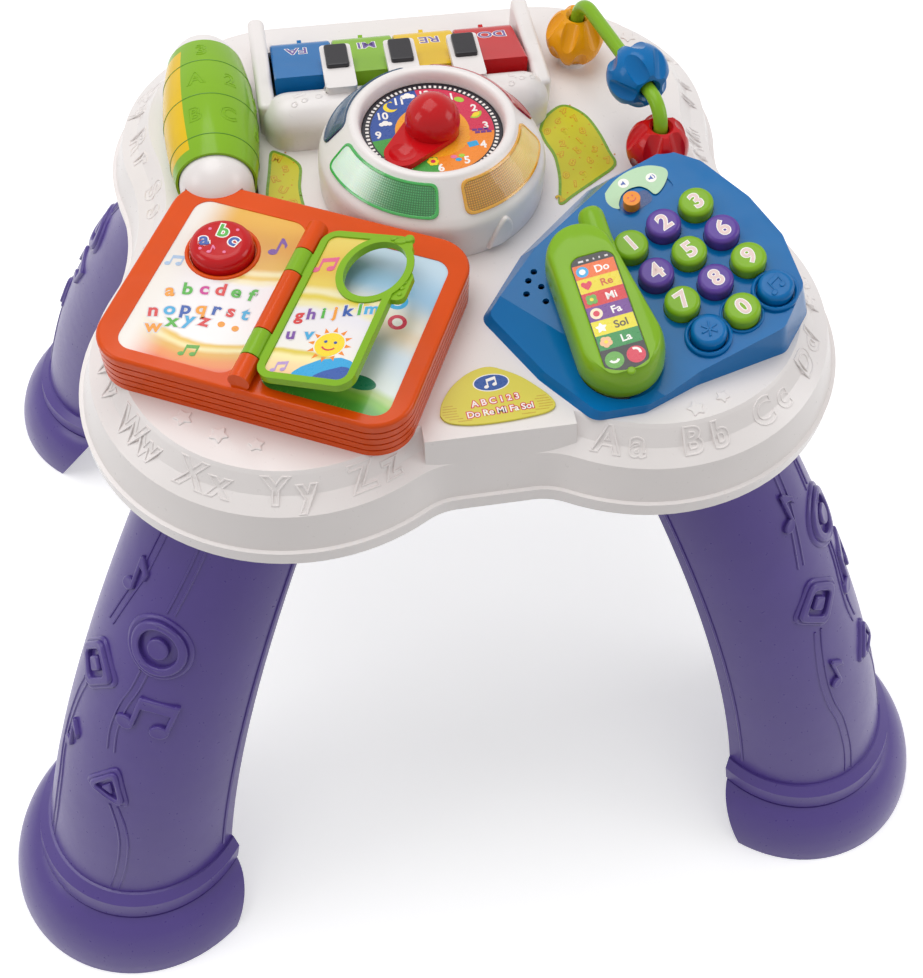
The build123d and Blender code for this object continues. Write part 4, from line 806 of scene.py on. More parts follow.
# ---- Clock dome ----------------------------------------------------------------------
# A smooth white ABS dome, moulded in one piece and screwed from under the deck, with a rolled
# lip round the dial and a raised drop on its front.
dome_x, dome_y = -2.0, 14.5


def ring_faces(rings, count):
    """The faces between closed rings of points, numbered one ring after another."""
    faces = []
    for ring in range(rings - 1):
        for i in range(count):
            one, two = ring * count + i, ring * count + (i + 1) % count
            faces.append((one, two, two + count, one + count))
    return faces


def spun(profile, steps=160):
    """A skin turned about the Z axis through (radius, height) points in millimetres."""
    points = []
    for radius, z in profile:
        for step in range(steps):
            a = 2 * pi * step / steps
            points.append((radius * cos(a) * mm, radius * sin(a) * mm, z * mm))
    mesh = bpy.data.meshes.new("spun")
    mesh.from_pydata(points, [], ring_faces(len(profile), steps))
    return mesh


slope_foot = (54.5, 388.5)
slope_head = (42.2, 402.5)
dome_wall = [(57.4, 365.1), (57.8, 370), (57.9, 376), (57.7, 381), (56.8, 385), slope_foot]
dome_crown = [
    slope_foot, (51.43, 392), (48.35, 395.5), (45.28, 399), slope_head, (41, 403.8),
    (39.4, 404.4), (37.8, 404.2), (36.5, 403.2), (35.7, 401), (35.3, 397.2),
]
dome_profile = smooth_run(dome_wall, 4) + smooth_run(dome_crown, 4)[1:]
dome_mesh = spun(dome_profile)
dome_stand = stand((dome_x, dome_y, 0), (1, 0, 0), (0, 0, 1))
dome_skin = assemble("dome_skin", [(dome_mesh, dome_stand, white_abs)], "table")
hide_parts("clock_housing")

# Raised drop on the front of the dome, pinched at its top.
drop_turn = radians(-63)
drop_face = stand(
    (dome_x + 57.6 * cos(drop_turn), dome_y + 57.6 * sin(drop_turn), 375.5),
    (-sin(drop_turn), cos(drop_turn), 0),
    (cos(drop_turn), sin(drop_turn), 0.02),
)
teardrop_corners = [
    (-8, -8), (2, -8.6), (6.6, -3), (6.2, 3), (2.4, 8), (-1.6, 5.4), (-5.6, -1), (-8, -8),
]
teardrop = smooth_run(teardrop_corners, 4)[:-1]
drop_shapes = [(plate([teardrop], 1.9, bevel=1.6), drop_face, white_abs)]
assemble("dome_drop", drop_shapes, "table")
finish(white_abs, "clock_housing")

# ---- Light windows -------------------------------------------------------------------
# Four tinted polycarbonate panes on the dome's slope. Each has a deeper-coloured rim and a fine
# square diffusing pattern moulded on its inside, seen through the gloss.
slope_in, slope_rise = slope_foot[0] - slope_head[0], slope_head[1] - slope_foot[1]
slope_length = hypot(slope_in, slope_rise)
slope_out = (slope_rise / slope_length, slope_in / slope_length)
slope_middle_radius = 48.0


def on_slope(middle, across, along, lift):
    """A point of the dome's slope, in metres: across it, up along it and off it."""
    share = along / slope_length
    radius = slope_foot[0] - slope_in * share + slope_out[0] * lift
    z = slope_foot[1] + slope_rise * share + slope_out[1] * lift
    a = radians(middle) + across / slope_middle_radius
    return ((dome_x + radius * cos(a)) * mm, (dome_y + radius * sin(a)) * mm, z * mm)


def dense(loop, step):
    """A closed outline with its long sides divided."""
    spots = []
    for (x0, y0), (x1, y1) in zip(loop, loop[1:] + loop[:1]):
        parts = max(1, round(hypot(x1 - x0, y1 - y0) / step))
        for i in range(parts):
            spots.append((x0 + (x1 - x0) * i / parts, y0 + (y1 - y0) * i / parts))
    return spots


def pane_plastic(name, deep, pale, painted_highlight_turn):
    """Tinted clear plastic over a fine grid of pips, paler about one turn: a painted highlight."""
    material, tree = empty_material(name)
    place = add_node(tree, "ShaderNodeTexCoord").outputs["Object"]
    parts = add_node(tree, "ShaderNodeSeparateXYZ", {0: place})
    x, y, z = parts.outputs
    from_x = add_node(tree, "ShaderNodeMath", {0: x, 1: dome_x * mm}, operation="SUBTRACT")
    from_y = add_node(tree, "ShaderNodeMath", {0: y, 1: dome_y * mm}, operation="SUBTRACT")
    sides = {0: from_y.outputs[0], 1: from_x.outputs[0]}
    turn = add_node(tree, "ShaderNodeMath", sides, operation="ARCTAN2").outputs[0]
    pip_pitch = 0.00115         # moulded pips 1.15 mm apart round the dome
    ring_radius = 0.048
    around, up = 2 * pi * ring_radius / pip_pitch, 2 * pi / (pip_pitch * 0.75)
    pips = []
    for coordinate, scale in ((turn, around), (z, up)):
        phase = add_node(tree, "ShaderNodeMath", {0: coordinate, 1: scale}, operation="MULTIPLY")
        row = add_node(tree, "ShaderNodeMath", {0: phase.outputs[0]}, operation="SINE")
        pips.append(row.outputs[0])
    pip = add_node(tree, "ShaderNodeMath", {0: pips[0], 1: pips[1]}, operation="MAXIMUM")
    depth_range = {"Value": pip.outputs[0], "From Min": -0.2, "From Max": 0.9}
    depth = add_node(tree, "ShaderNodeMapRange", depth_range)
    swing = {0: turn, 1: radians(painted_highlight_turn)}
    off = add_node(tree, "ShaderNodeMath", swing, operation="SUBTRACT")
    far = add_node(tree, "ShaderNodeMath", {0: off.outputs[0]}, operation="ABSOLUTE")
    # Painted highlight: the tint turns paler near one turn round the dome, where the lamps'
    # reflection falls, and the pips fade there.
    glow = add_node(
        tree,
        "ShaderNodeMapRange",
        {
            "Value": far.outputs[0],
            "From Min": 0.1,
            "From Max": 0.7,
            "To Min": 1.0,
            "To Max": 0.05,
        },
        interpolation_type="SMOOTHSTEP",
    )
    faint = add_node(tree, "ShaderNodeMath", {0: 1.0, 1: glow.outputs[0]}, operation="SUBTRACT")
    both = {0: depth.outputs[0], 1: faint.outputs[0]}
    shown = add_node(tree, "ShaderNodeMath", both, operation="MULTIPLY")
    tints = {0: glow.outputs[0], 6: linear(deep), 7: linear(pale)}
    tint = add_node(tree, "ShaderNodeMix", tints, data_type="RGBA")
    pip_colour = tuple(c * 0.42 for c in linear(deep)[:3]) + (1,)
    shades = {0: shown.outputs[0], 6: tint.outputs[2], 7: pip_colour}
    dark = add_node(tree, "ShaderNodeMix", shades, data_type="RGBA")
    relief = {"Height": depth.outputs[0], "Strength": 0.25, "Distance": 0.0003}
    dent = add_node(tree, "ShaderNodeBump", relief)
    plastic = add_node(
        tree,
        "ShaderNodeBsdfPrincipled",
        {
            "Base Color": dark.outputs[2],
            "Normal": dent.outputs[0],
            "Roughness": 0.3,
            "IOR": 1.58,
            "Coat Weight": 0.4,
            "Coat Roughness": 0.06,
            "Subsurface Weight": 0.25,
            "Subsurface Scale": 0.004,
        },
    )
    add_node(tree, "ShaderNodeOutputMaterial", {"Surface": plastic.outputs[0]})
    return material


window_half, window_low, window_high = 31.4, 0.7, 17.9
window_corners = [
    (-window_half, window_low), (window_half, window_low),
    (window_half, window_high), (-window_half, window_high),
]
window_shape = dense(rounded(window_corners, 4.6, 7), 1.4)
window_mid = (window_low + window_high) / 2
spine_half = window_half - (window_high - window_low) / 2
# Rings of a window from its sunk edge to its middle: share of its width and lift off the slope.
window_rings = [
    (1.0, -0.5), (1.0, 0.5), (0.97, 0.95), (0.86, 1.0), (0.83, 0.7), (0.5, 0.85), (0.25, 0.95),
    (0.0, 1.0),
]
rim_rings = 4


def window_skins(middle):
    """The rim and the pane of a window, as two meshes."""
    skins = []
    for rings in (window_rings[: rim_rings + 1], window_rings[rim_rings:]):
        points = []
        for share, lift in rings:
            for x, y in window_shape:
                spine_x = max(-spine_half, min(spine_half, x))
                across = spine_x + (x - spine_x) * share
                along = window_mid + (y - window_mid) * share
                points.append(on_slope(middle, across, along, lift))
        mesh = bpy.data.meshes.new("window_skin")
        mesh.from_pydata(points, [], ring_faces(len(rings), len(window_shape)))
        skin = bmesh.new()
        skin.from_mesh(mesh)
        bmesh.ops.remove_doubles(skin, verts=skin.verts, dist=1e-6)
        skin.to_mesh(mesh)
        skin.free()
        skins.append(mesh)
    return skins


# Middle turn, deep tint and the pale tint of its painted highlight, the turn of that painted
# highlight, and the rim's tint.
window_looks = {
    "window_red": (46, "A81420", "B81C26", 20, "98101A"),
    "window_blue": (137, "0E4A70", "1C6088", 130, "0B3E60"),
    "window_green": (227, "1E9A44", "DDF6E4", 204, "2AAE44"),
    "window_amber": (316, "D8960A", "F2D27A", 338, "DDA010"),
}
for window, (middle, deep, pale, painted_highlight_turn, rim_colour) in window_looks.items():
    tint = window.split("_")[1]
    pane_turn = painted_highlight_turn if painted_highlight_turn <= 180 else painted_highlight_turn - 360
    pane = pane_plastic(f"tinted_{tint}_polycarbonate", deep, pale, pane_turn)
    rim_name = f"tinted_{tint}_polycarbonate_rim"
    rim = moulded(rim_name, rim_colour, roughness=0.18, coat=0.8, subsurface=0.2)
    rim_mesh, pane_mesh = window_skins(middle)
    finish(pane, window)
    shapes = [(rim_mesh, unmoved, rim), (pane_mesh, unmoved, pane)]
    piece = assemble(f"{window}_pane", shapes, "table")
    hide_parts(window)

# ---- Clock dial ----------------------------------------------------------------------
# A printed card under the hand: four coloured quarters, a ring of minute squares, white numbers
# and small pictures of things of the day.
dial = stand((dome_x, dome_y, 397.0), (1, 0, 0), (0, 0, 1))
# Black card under clear film: deep and even, with a dull sheen.
dial_card = moulded("black_printed_card", "191522", roughness=0.35, flow=0.03)
finish(dial_card, "clock_dial")
dial_blue = ink("night_blue", "2B4F9F")
dial_pink = ink("magenta_red", "D3274F")
dial_orange = ink("warm_orange", "F08A24")
dial_green = ink("grass_green", "3E9C3A")
dial_amber = ink("amber", "F2A41F")


def wedge_outline(inner, outer, start, end):
    """A sector of a ring between two angles."""
    steps = max(2, int(abs(end - start) / 4))
    angles = [radians(start + (end - start) * i / steps) for i in range(steps + 1)]
    ring = [(outer * cos(a), outer * sin(a)) for a in angles]
    return ring + [(inner * cos(a), inner * sin(a)) for a in reversed(angles)]


hub_radius, quarter_radius = 4.5, 30.9
quarters = [
    (dial_pink, -8, 98), (dial_blue, 98, 188), (dial_green, 188, 268), (dial_orange, 268, 352),
]
prints = []
for colour, start, end in quarters:
    quarter = wedge_outline(hub_radius, quarter_radius, start, end)
    prints.append((plate([quarter], 0.05), dial, colour))
prints.append((plate([wedge_outline(hub_radius, 19.5, 205, 340)], 0.08), dial, dial_amber))
prints.append((plate([circle(18.6), circle(4.6)], 0.1), dial, dial_amber))
hour_ring, hour_height = 27, 5.0
picture_rise = 0.14     # the pictures' and numbers' print above the quarters'
for hour in range(1, 13):
    a = radians(90 - 30 * hour)
    number = letters(str(hour), hour_height, rise=picture_rise, bold=0.22, narrow=0.9)
    prints.append((number, at(dial, hour_ring * cos(a), hour_ring * sin(a)), white_ink))

# Small pictures between the numbers: moon, clouds, fruit, bricks, an easel, sweets and a flower.
moon = circle(3.6, steps=24)[3:22]
for turn in range(300, 60, -20):
    moon.append((3.2 * cos(radians(turn)) + 1.9, 3.2 * sin(radians(turn)) + 0.6))
lemon_ink = ink("lemon", "F6D92B")
prints.append((plate([moon], picture_rise), at(dial, -18.4, 19.4, 0, 20), lemon_ink))
cloud = ((-2.2, 0, 1.5), (0, 0.7, 2.0), (2.2, 0, 1.5))
for x, y, scale in ((-8.5, 26.2, 1.0), (-22.4, 7.4, 0.9)):
    puffs = [circle(r * scale, dx * scale, dy * scale, 14) for dx, dy, r in cloud]
    prints += printed(puffs, picture_rise, at(dial, x, y), white_ink)
lime_ink = ink("lime", "A9D13A")
pear_print = plate([circle(2.6, squeeze=0.7)], picture_rise)
prints.append((pear_print, at(dial, 17.0, 20.6, 0, -30), lime_ink))
slice_place = at(dial, 22.6, 9.8, 0, 35)
rind = wedge_outline(0.4, 4.0, 200, 340)
prints.append((plate([rind], picture_rise), slice_place, lime_ink))
prints.append((plate([wedge_outline(0.3, 3.0, 204, 336)], 0.18), slice_place, lemon_ink))
plum_ink = ink("plum", "6E2A86")
brick = [(0, 0), (2.5, 0), (2.5, 1.6), (0, 1.6)]
brick_step = 2.9
for step in range(3):
    for x, y in ((20.8, -5.4), (19.6, -3.5)):
        spot = at(dial, x + brick_step * step, y)
        prints.append((plate([brick], picture_rise), spot, plum_ink))
sky_ink = ink("sky_blue", "2FA5DC")
easel = [(-2.6, -1.7), (2.6, -1.7), (2.6, 1.9), (-2.6, 1.9)]
prints.append((plate([easel], picture_rise), at(dial, 18.4, -12.6, 0, 12), sky_ink))
pink_ink = ink("candy_pink", "E77AA6")
for x, y, colour in ((7.4, -20.4, pink_ink), (11.4, -20.0, lime_ink), (9.4, -22.6, sky_ink)):
    sweet = plate([circle(1.6, squeeze=0.75, steps=16)], picture_rise)
    prints.append((sweet, at(dial, x, y), colour))


def petal_ring(size, reach, turns, steps):
    """Outlines of round petals about a flower's middle."""
    return [circle(size, reach * cos(radians(t)), reach * sin(radians(t)), steps) for t in turns]


flower = at(dial, -3.2, -22.4)
petals = petal_ring(1.2, 1.8, range(0, 360, 60), 12)
prints += printed(petals, picture_rise, flower, lemon_ink)
prints.append((plate([circle(1.2, steps=12)], 0.36), flower, dial_pink))
assemble("dial_print", prints, "table")


def grown(name, inputs, build, body, material, place):
    """A piece grown by a node tree of repeats, from inputs given by name. Nothing in it is
    random, so it has no seed."""
    group = bpy.data.node_groups.new(name, "GeometryNodeTree")
    group.interface.new_socket("Geometry", in_out="OUTPUT", socket_type="NodeSocketGeometry")
    for label_text, (kind, _) in inputs.items():
        group.interface.new_socket(label_text, in_out="INPUT", socket_type=kind)
    entry = group.nodes.new("NodeGroupInput")
    leave = group.nodes.new("NodeGroupOutput")
    made = build(group, entry.outputs)
    solid = add_node(group, "GeometryNodeRealizeInstances", {0: made})
    paint = {0: solid.outputs[0], "Material": entry.outputs["Material"]}
    painted = add_node(group, "GeometryNodeSetMaterial", paint)
    group.links.new(painted.outputs[0], leave.inputs[0])
    holder = bpy.data.objects.new(f"{name}_holder", bpy.data.meshes.new(f"{name}_empty"))
    bpy.context.scene.collection.objects.link(holder)
    modifier = holder.modifiers.new(name, "NODES")
    modifier.node_group = group
    for item in group.interface.items_tree:
        if item.in_out == "INPUT":
            modifier[item.identifier] = inputs[item.name][1]
    sight = bpy.context.evaluated_depsgraph_get()
    mesh = bpy.data.meshes.new_from_object(holder.evaluated_get(sight))
    holder.modifiers.remove(modifier)
    bpy.data.objects.remove(holder)
    mesh.transform(place)
    mesh.materials.clear()
    mesh.materials.append(material)
    piece = bpy.data.objects.new(name, mesh)
    bpy.context.scene.collection.objects.link(piece)
    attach(piece, body)
    return piece


def tick_ring(group, values):
    """Small square tiles round a circle, each turned to face its middle."""
    circle_sizes = {"Vertices": values["Count"], "Radius": values["Radius"]}
    circle_line = add_node(group, "GeometryNodeMeshCircle", circle_sizes)
    size = add_node(
        group,
        "ShaderNodeCombineXYZ",
        {0: values["Length"], 1: values["Width"], 2: values["Thickness"]},
    )
    tile = add_node(group, "GeometryNodeMeshCube", {"Size": size.outputs[0]})
    spot = add_node(group, "GeometryNodeInputPosition")
    away = {"Vector": spot.outputs[0]}
    turned = add_node(group, "FunctionNodeAlignRotationToVector", away, axis="X")
    laid = {
        "Points": circle_line.outputs[0],
        "Instance": tile.outputs[0],
        "Rotation": turned.outputs[0],
    }
    return add_node(group, "GeometryNodeInstanceOnPoints", laid).outputs[0]


tick_inputs = {
    "Count": ("NodeSocketInt", 78),
    "Radius": ("NodeSocketFloat", 0.0325),
    "Length": ("NodeSocketFloat", 0.0017),
    "Width": ("NodeSocketFloat", 0.0013),
    "Thickness": ("NodeSocketFloat", 0.0002),
    "Material": ("NodeSocketMaterial", white_ink),
}
grown("dial_minute_squares", tick_inputs, tick_ring, "table", white_ink, dial)

# ---- Clock hand ----------------------------------------------------------------------
# One glossy red ABS moulding that turns on the dome's middle: a domed knob that swells into an
# arm with a ring at its end.
# Red ABS from a polished mould: small bright highlights that waver where the wall shrank.
red_abs = moulded(
    "glossy_red_moulded_ABS", "C41017", roughness=0.15, flow=0.06, wave=0.4, shine=0.25
)
finish(red_abs, "clock_hand")

# ---- Piano ---------------------------------------------------------------------------
# Four hollow ABS keys in blue, lime, yellow and red that turn on a rod, with hot-stamped sol-fa
# names that face the rear, and three black key tops glued in white frames.
# Self-coloured ABS from polished moulds: small bright highlights and slight shrink waves.
blue_abs = moulded(
    "glossy_blue_moulded_ABS", "006BAE", roughness=0.16, flow=0.08, wave=0.5, shine=0.2
)
lime_abs = moulded(
    "glossy_lime_moulded_ABS", "84B424", roughness=0.18, flow=0.08, wave=0.4, shine=0.2
)
yellow_abs = moulded(
    "glossy_yellow_moulded_ABS", "E8BE0C", roughness=0.18, flow=0.08, wave=0.4, shine=0.2
)
# Black ABS from a satin mould: a dull sheen with no clear reflection.
black_abs = moulded("satin_black_moulded_ABS", "17131A", roughness=0.3, flow=0.05)
key_looks = {"fa": blue_abs, "mi": lime_abs, "re": yellow_abs, "do": red_abs}
stamp_purple = ink("stamped_purple", "5B3A92")
piano_left, piano_pitch = -76.0, 34.0
name_shifts = (-2.5, 1.5, 2.2, 3.0)     # off each key's middle, to clear the black key tops
for number, (note, plastic) in enumerate(key_looks.items()):
    finish(plastic, f"piano_key_{note}")
    name_x = piano_left + (number + 0.5) * piano_pitch + name_shifts[number]
    key_top = stand((name_x, 106, 386), (-1, 0, 0), (0, 0, 1))
    name = note.upper()
    prints = lettering(name, 7.4, key_top, stamp_purple, white_ink, 0.45, bold=0.12, lift=0.05)
    key, body = f"piano_key_{note}", f"piano_{note}_body"
    assemble(f"piano_{note}_name", prints, body, onto=key)
finish(black_abs, "black_keys")
# Bright drawn wire and screws, out of sight inside the case.
steel = moulded("drawn_steel_wire", "B9BABC", roughness=0.22, flow=0.1)
steel_pieces = (
    "case_screws", "roller_axle", "piano_pivot_rod", "book_hinge_pin", "button_spring"
)
finish(steel, *steel_pieces)

# Notes raised on the bar in front of the keys, two at each end.
bar_notes = [
    (-64, 58, 8, True), (-53, 61, -12, False), (47, 58, 10, False), (57, 61, -6, True),
]
bar_marks = []
for x, y, turn, pair in bar_notes:
    bar_top = stand((x, y, 388), (1, 0, 0), (0, 0, 1))
    for outline in note_outlines(9, pair):
        mark = plate([outline], 0, ridge=0.3)
        bar_marks.append((mark, at(bar_top, 0, 0, 0, turn), white_abs))
assemble("bar_reliefs", bar_marks, "table", onto="top_shell")

# ---- Roller --------------------------------------------------------------------------
# A barrel of lime ABS with a separate yellow panel along its left, turned ring grooves and raised
# letters, that spins on a steel axle between two white balls.
finish(lime_abs, "roller_barrel")
finish(yellow_abs, "roller_yellow_panel")
finish(white_abs, "roller_balls")
roller_x, roller_z = -111.0, 380.0
roller_front, roller_rear = 10.0, 96.0
roller_radius, roller_end = 24.0, 20.0
# Painted shade: a darker, dull lime that stands in for the shade on the floor of a turned groove,
# and in the earpiece slot.
groove_painted_shade = moulded("lime_ABS_painted_groove_shade", "4E8A1C", roughness=0.35)
half_length = (roller_rear - roller_front) / 2
sagitta = roller_radius - roller_end
arc_radius = (half_length**2 + sagitta**2) / (2 * sagitta)


def barrel_radius(y):
    """The barrel's outer radius at a distance along the table's Y axis."""
    off = y - (roller_front + roller_rear) / 2
    return roller_radius - arc_radius + sqrt(arc_radius**2 - off**2)


roller_end_on = stand((roller_x, 0, roller_z), (1, 0, 0), (0, -1, 0))
# Each turned groove is drawn as a thin raised ring of painted shade just above the barrel.
rings = []
for y in (22.0, 49.0, 76.0):
    radius = barrel_radius(y) + 0.05
    groove = plate([circle(radius, steps=120)], 0, ridge=0.22)
    rings.append((groove, at(roller_end_on, 0, 0, -y), groove_painted_shade))
assemble("roller_grooves", rings, "roller_body")
roller_marks = [
    (62, -10, "A"), (36, -16, "B"), (62, 32, "2"), (36, 26, "C"), (86, 0, "3"),
    (62, 130, "D"), (36, 160, "E"), (62, 80, "4"), (36, 75, "5"), (86, 110, "F"),
]
off_axis = roller_radius + 2
marks = []
for y, turn, text in roller_marks:
    a = radians(turn)
    facing = (sin(a), 0, cos(a))
    spot = (roller_x + off_axis * sin(a), y, roller_z + off_axis * cos(a))
    place = stand(spot, (cos(a), 0, -sin(a)), facing)
    marks.append((letters(text, 8.5, ridge=0.4, bold=0.3), place, lime_abs))
assemble("roller_letters", marks, "roller_body", onto="roller_barrel", drop=0.01)

# ---- Bead track ----------------------------------------------------------------------
# A tube of lime ABS, bent in one sweep and held in the deck at both ends, with three fluted ABS
# beads that slide and spin on it.
finish(lime_abs, "bead_tube")
finish(blue_abs, "bead_blue")
finish(red_abs, "bead_red")
# Amber ABS with the same polish as the rest.
bead_amber = moulded(
    "amber_yellow_moulded_ABS", "EB9E0C", roughness=0.18, flow=0.08, wave=0.4, shine=0.2
)
finish(bead_amber, "bead_yellow")

# ---- Book ----------------------------------------------------------------------------
# An orange ABS block moulded like an open book with stacked leaves. Its two pages are printed
# film, and a lime ABS page with its own film turns on a pin between them.
orange_abs = moulded(
    "glossy_orange_moulded_ABS", "DC4E08", roughness=0.18, flow=0.08, wave=0.5, shine=0.2
)
finish(orange_abs, "book_base")
book_turn = radians(-27.1)
book = stand((-87, -81, deck_z), (cos(book_turn), sin(book_turn), 0), (0, 0, 1))


def banded_film(name, place, stops, bend=0.0, middle=0.0, fade=None):
    """Printed film under gloss varnish, with airbrushed bands: stops are (height, colour) up a
    place, in millimetres, bent by so much at 30 mm off its middle. Fade gives (from, to,
    colour) across it."""
    wobble = 2.0            # how far the bands drift, in millimetres
    drifts_per_mm = 0.06    # drifts about 17 mm long
    material, tree = empty_material(name)
    where = add_node(tree, "ShaderNodeTexCoord").outputs["Object"]
    spot, turned, _ = place.inverted().decompose()
    local = add_node(
        tree,
        "ShaderNodeMapping",
        {
            "Vector": where,
            "Location": spot / mm,
            "Rotation": turned.to_euler(),
            "Scale": (1 / mm, 1 / mm, 1 / mm),
        },
    )
    parts = add_node(tree, "ShaderNodeSeparateXYZ", {0: local.outputs[0]})
    across, up, _ = parts.outputs
    off = add_node(tree, "ShaderNodeMath", {0: across, 1: middle}, operation="SUBTRACT")
    square = add_node(tree, "ShaderNodeMath", {0: off.outputs[0], 1: 2.0}, operation="POWER")
    bowed = {0: square.outputs[0], 1: bend / 30**2}
    bow = add_node(tree, "ShaderNodeMath", bowed, operation="MULTIPLY")
    cloud_noise = {"Vector": local.outputs[0], "Scale": drifts_per_mm, "Detail": 2.0}
    clouds = add_node(tree, "ShaderNodeTexNoise", cloud_noise)
    drift_range = {"Value": clouds.outputs[0], "To Min": -wobble, "To Max": wobble}
    drift = add_node(tree, "ShaderNodeMapRange", drift_range)
    risen = add_node(tree, "ShaderNodeMath", {0: up, 1: bow.outputs[0]}, operation="ADD")
    swept = {0: risen.outputs[0], 1: drift.outputs[0]}
    height = add_node(tree, "ShaderNodeMath", swept, operation="ADD")
    low, high = stops[0][0], stops[-1][0]
    share_range = {"Value": height.outputs[0], "From Min": low, "From Max": high}
    share = add_node(tree, "ShaderNodeMapRange", share_range)
    ramp = tree.nodes.new("ShaderNodeValToRGB")
    tree.links.new(share.outputs[0], ramp.inputs[0])
    ramp.color_ramp.interpolation = "EASE"
    for number, (level, colour) in enumerate(stops):
        spot_share = (level - low) / (high - low)
        if number < 2:
            stop = ramp.color_ramp.elements[number]
            stop.position = spot_share
        else:
            stop = ramp.color_ramp.elements.new(spot_share)
        stop.color = linear(colour)
    shade = ramp.outputs[0]
    if fade:
        fade_share = add_node(
            tree,
            "ShaderNodeMapRange",
            {"Value": across, "From Min": fade[0], "From Max": fade[1]},
            interpolation_type="SMOOTHSTEP",
        )
        faded = {0: fade_share.outputs[0], 6: shade, 7: linear(fade[2])}
        shade = add_node(tree, "ShaderNodeMix", faded, data_type="RGBA").outputs[2]
    film = add_node(
        tree,
        "ShaderNodeBsdfPrincipled",
        {"Base Color": shade, "Roughness": 0.3, "Coat Weight": 0.5, "Coat Roughness": 0.1},
    )
    add_node(tree, "ShaderNodeOutputMaterial", {"Surface": film.outputs[0]})
    return material


left_film = banded_film(
    "left_page_film",
    book,
    [
        (-47, "DE5A14"), (-42, "E0801C"), (-37, "D9A024"), (-34, "E8D898"), (-31.5, "DDB22C"),
        (-29, "EDE9E8"), (4, "E6E2E4"), (8, "EADFB8"), (11, "E0BC50"), (14, "EADBA8"),
        (18, "D9A21C"), (30, "D6971A"), (52, "E3AC34"),
    ],
    bend=-7.0,
    middle=-30.0,
    fade=(-40, -60, "EAE4DC"),
)
right_film = banded_film(
    "right_page_film",
    book,
    [
        (-50, "2F7A2E"), (-42, "4C9A34"), (-36, "7DB93F"), (-32, "B2CC7C"), (-27, "DCE4E0"),
        (-10, "CDDBE6"), (5, "E6D2B8"), (12, "E8E0D2"), (28, "94BCDA"), (50, "BCD2E2"),
    ],
    bend=4.0,
    middle=33.0,
)
finish(left_film, "page_stickers")
book_print_top = 21.6
page_loops = outlines_of("page_stickers", book, book_print_top)
right_loop = max(page_loops, key=lambda loop: min(x for x, _ in loop))
page_top = at(book, 0, 0, book_print_top)
prints = [(plate([right_loop], 0.03), page_top, right_film)]
hill_ink = ink("hill_green", "5FA63C")
pine_ink = ink("pine_green", "1F7D5A")
prints.append((plate([circle(9, squeeze=0.45, steps=30)], 0.06), at(page_top, 30, -32), hill_ink))
prints.append((plate([circle(8, squeeze=0.5, steps=30)], 0.06), at(page_top, 48, -30), pine_ink))
for x, y, radius, colour in ((40, -20, 5, pink_ink), (53, 8, 4.4, red_ink), (49, 20, 5, sky_ink)):
    prints.append((plate([circle(radius, steps=24)], 0.06), at(page_top, x, y), colour))
    prints.append((plate([circle(radius * 0.55, steps=20)], 0.09), at(page_top, x, y), white_ink))
for x in range(10, 58, 5):
    for dx in (0, 1.7, 3.2):
        blade = [(-0.4, 0), (0.4, 0), (0.9 * sin(x + dx * 3), 3.4 + sin(x * 1.7 + dx))]
        root = at(page_top, x + dx, -47.5 + 1.5 * sin(x))
        prints.append((plate([blade], 0.1), root, hill_ink))
assemble("right_page_print", prints, "table")

# Rows of small letters on the left page, each row on its own gentle arc.
letter_inks = {
    "orange": ink("letter_orange", "EE9A2B"),
    "green": ink("letter_green", "4FAE3C"),
    "magenta": ink("letter_magenta", "C9348F"),
    "red": ink("letter_red", "D63A3A"),
    "cyan": ink("letter_cyan", "45A9D8"),
    "blue": ink("letter_blue", "2F57A8"),
    "purple": ink("letter_purple", "7A4DA0"),
}
glow_ink = ink("letter_glow", "DDD6D8")
row_bow = 2.4
page_rows = [
    ("abcdef", (-51.1, -7.7), (-15.4, 1.2), "orange green magenta red green green"),
    ("nopqrst", (-53.3, -21.2), (-13.7, -10.2), "red cyan blue orange blue red cyan"),
    ("wxyz", (-49.4, -29.8), (-29.6, -19.5), "orange green cyan red"),
]
prints = []
letter_size = 5.6
for text, start, end, colours in page_rows:
    steps = len(text) - 1
    for number, (mark, colour) in enumerate(zip(text, colours.split())):
        share = number / steps
        x = start[0] + (end[0] - start[0]) * share
        y = start[1] + (end[1] - start[1]) * share + row_bow * 4 * share * (1 - share)
        turn = 18 - 16 * share
        spot = at(page_top, x, y - 2.4, 0, turn)
        colours_of = (letter_inks[colour], glow_ink)
        prints += lettering(
            mark, letter_size * 1.28, spot, *colours_of, 0.55, bold=0.3, lift=0.04, centred=False
        )
for x, y in ((-21.9, -18.5), (-15, -18.9)):
    dot = plate([circle(1.7, steps=16)], 0.06)
    prints.append((dot, at(page_top, x, y), letter_inks["orange"]))
for x, y, size, pair, colour in (
    (-15.6, 34.2, 12, False, letter_inks["purple"]),
    (-29, -37, 8, True, hill_ink),
    (-57, 10.9, 8, True, ink("pale_blue", "A9C3E0")),
):
    prints += printed(note_outlines(size, pair), 0.06, at(page_top, x, y), colour)
assemble("left_page_print", prints, "table")

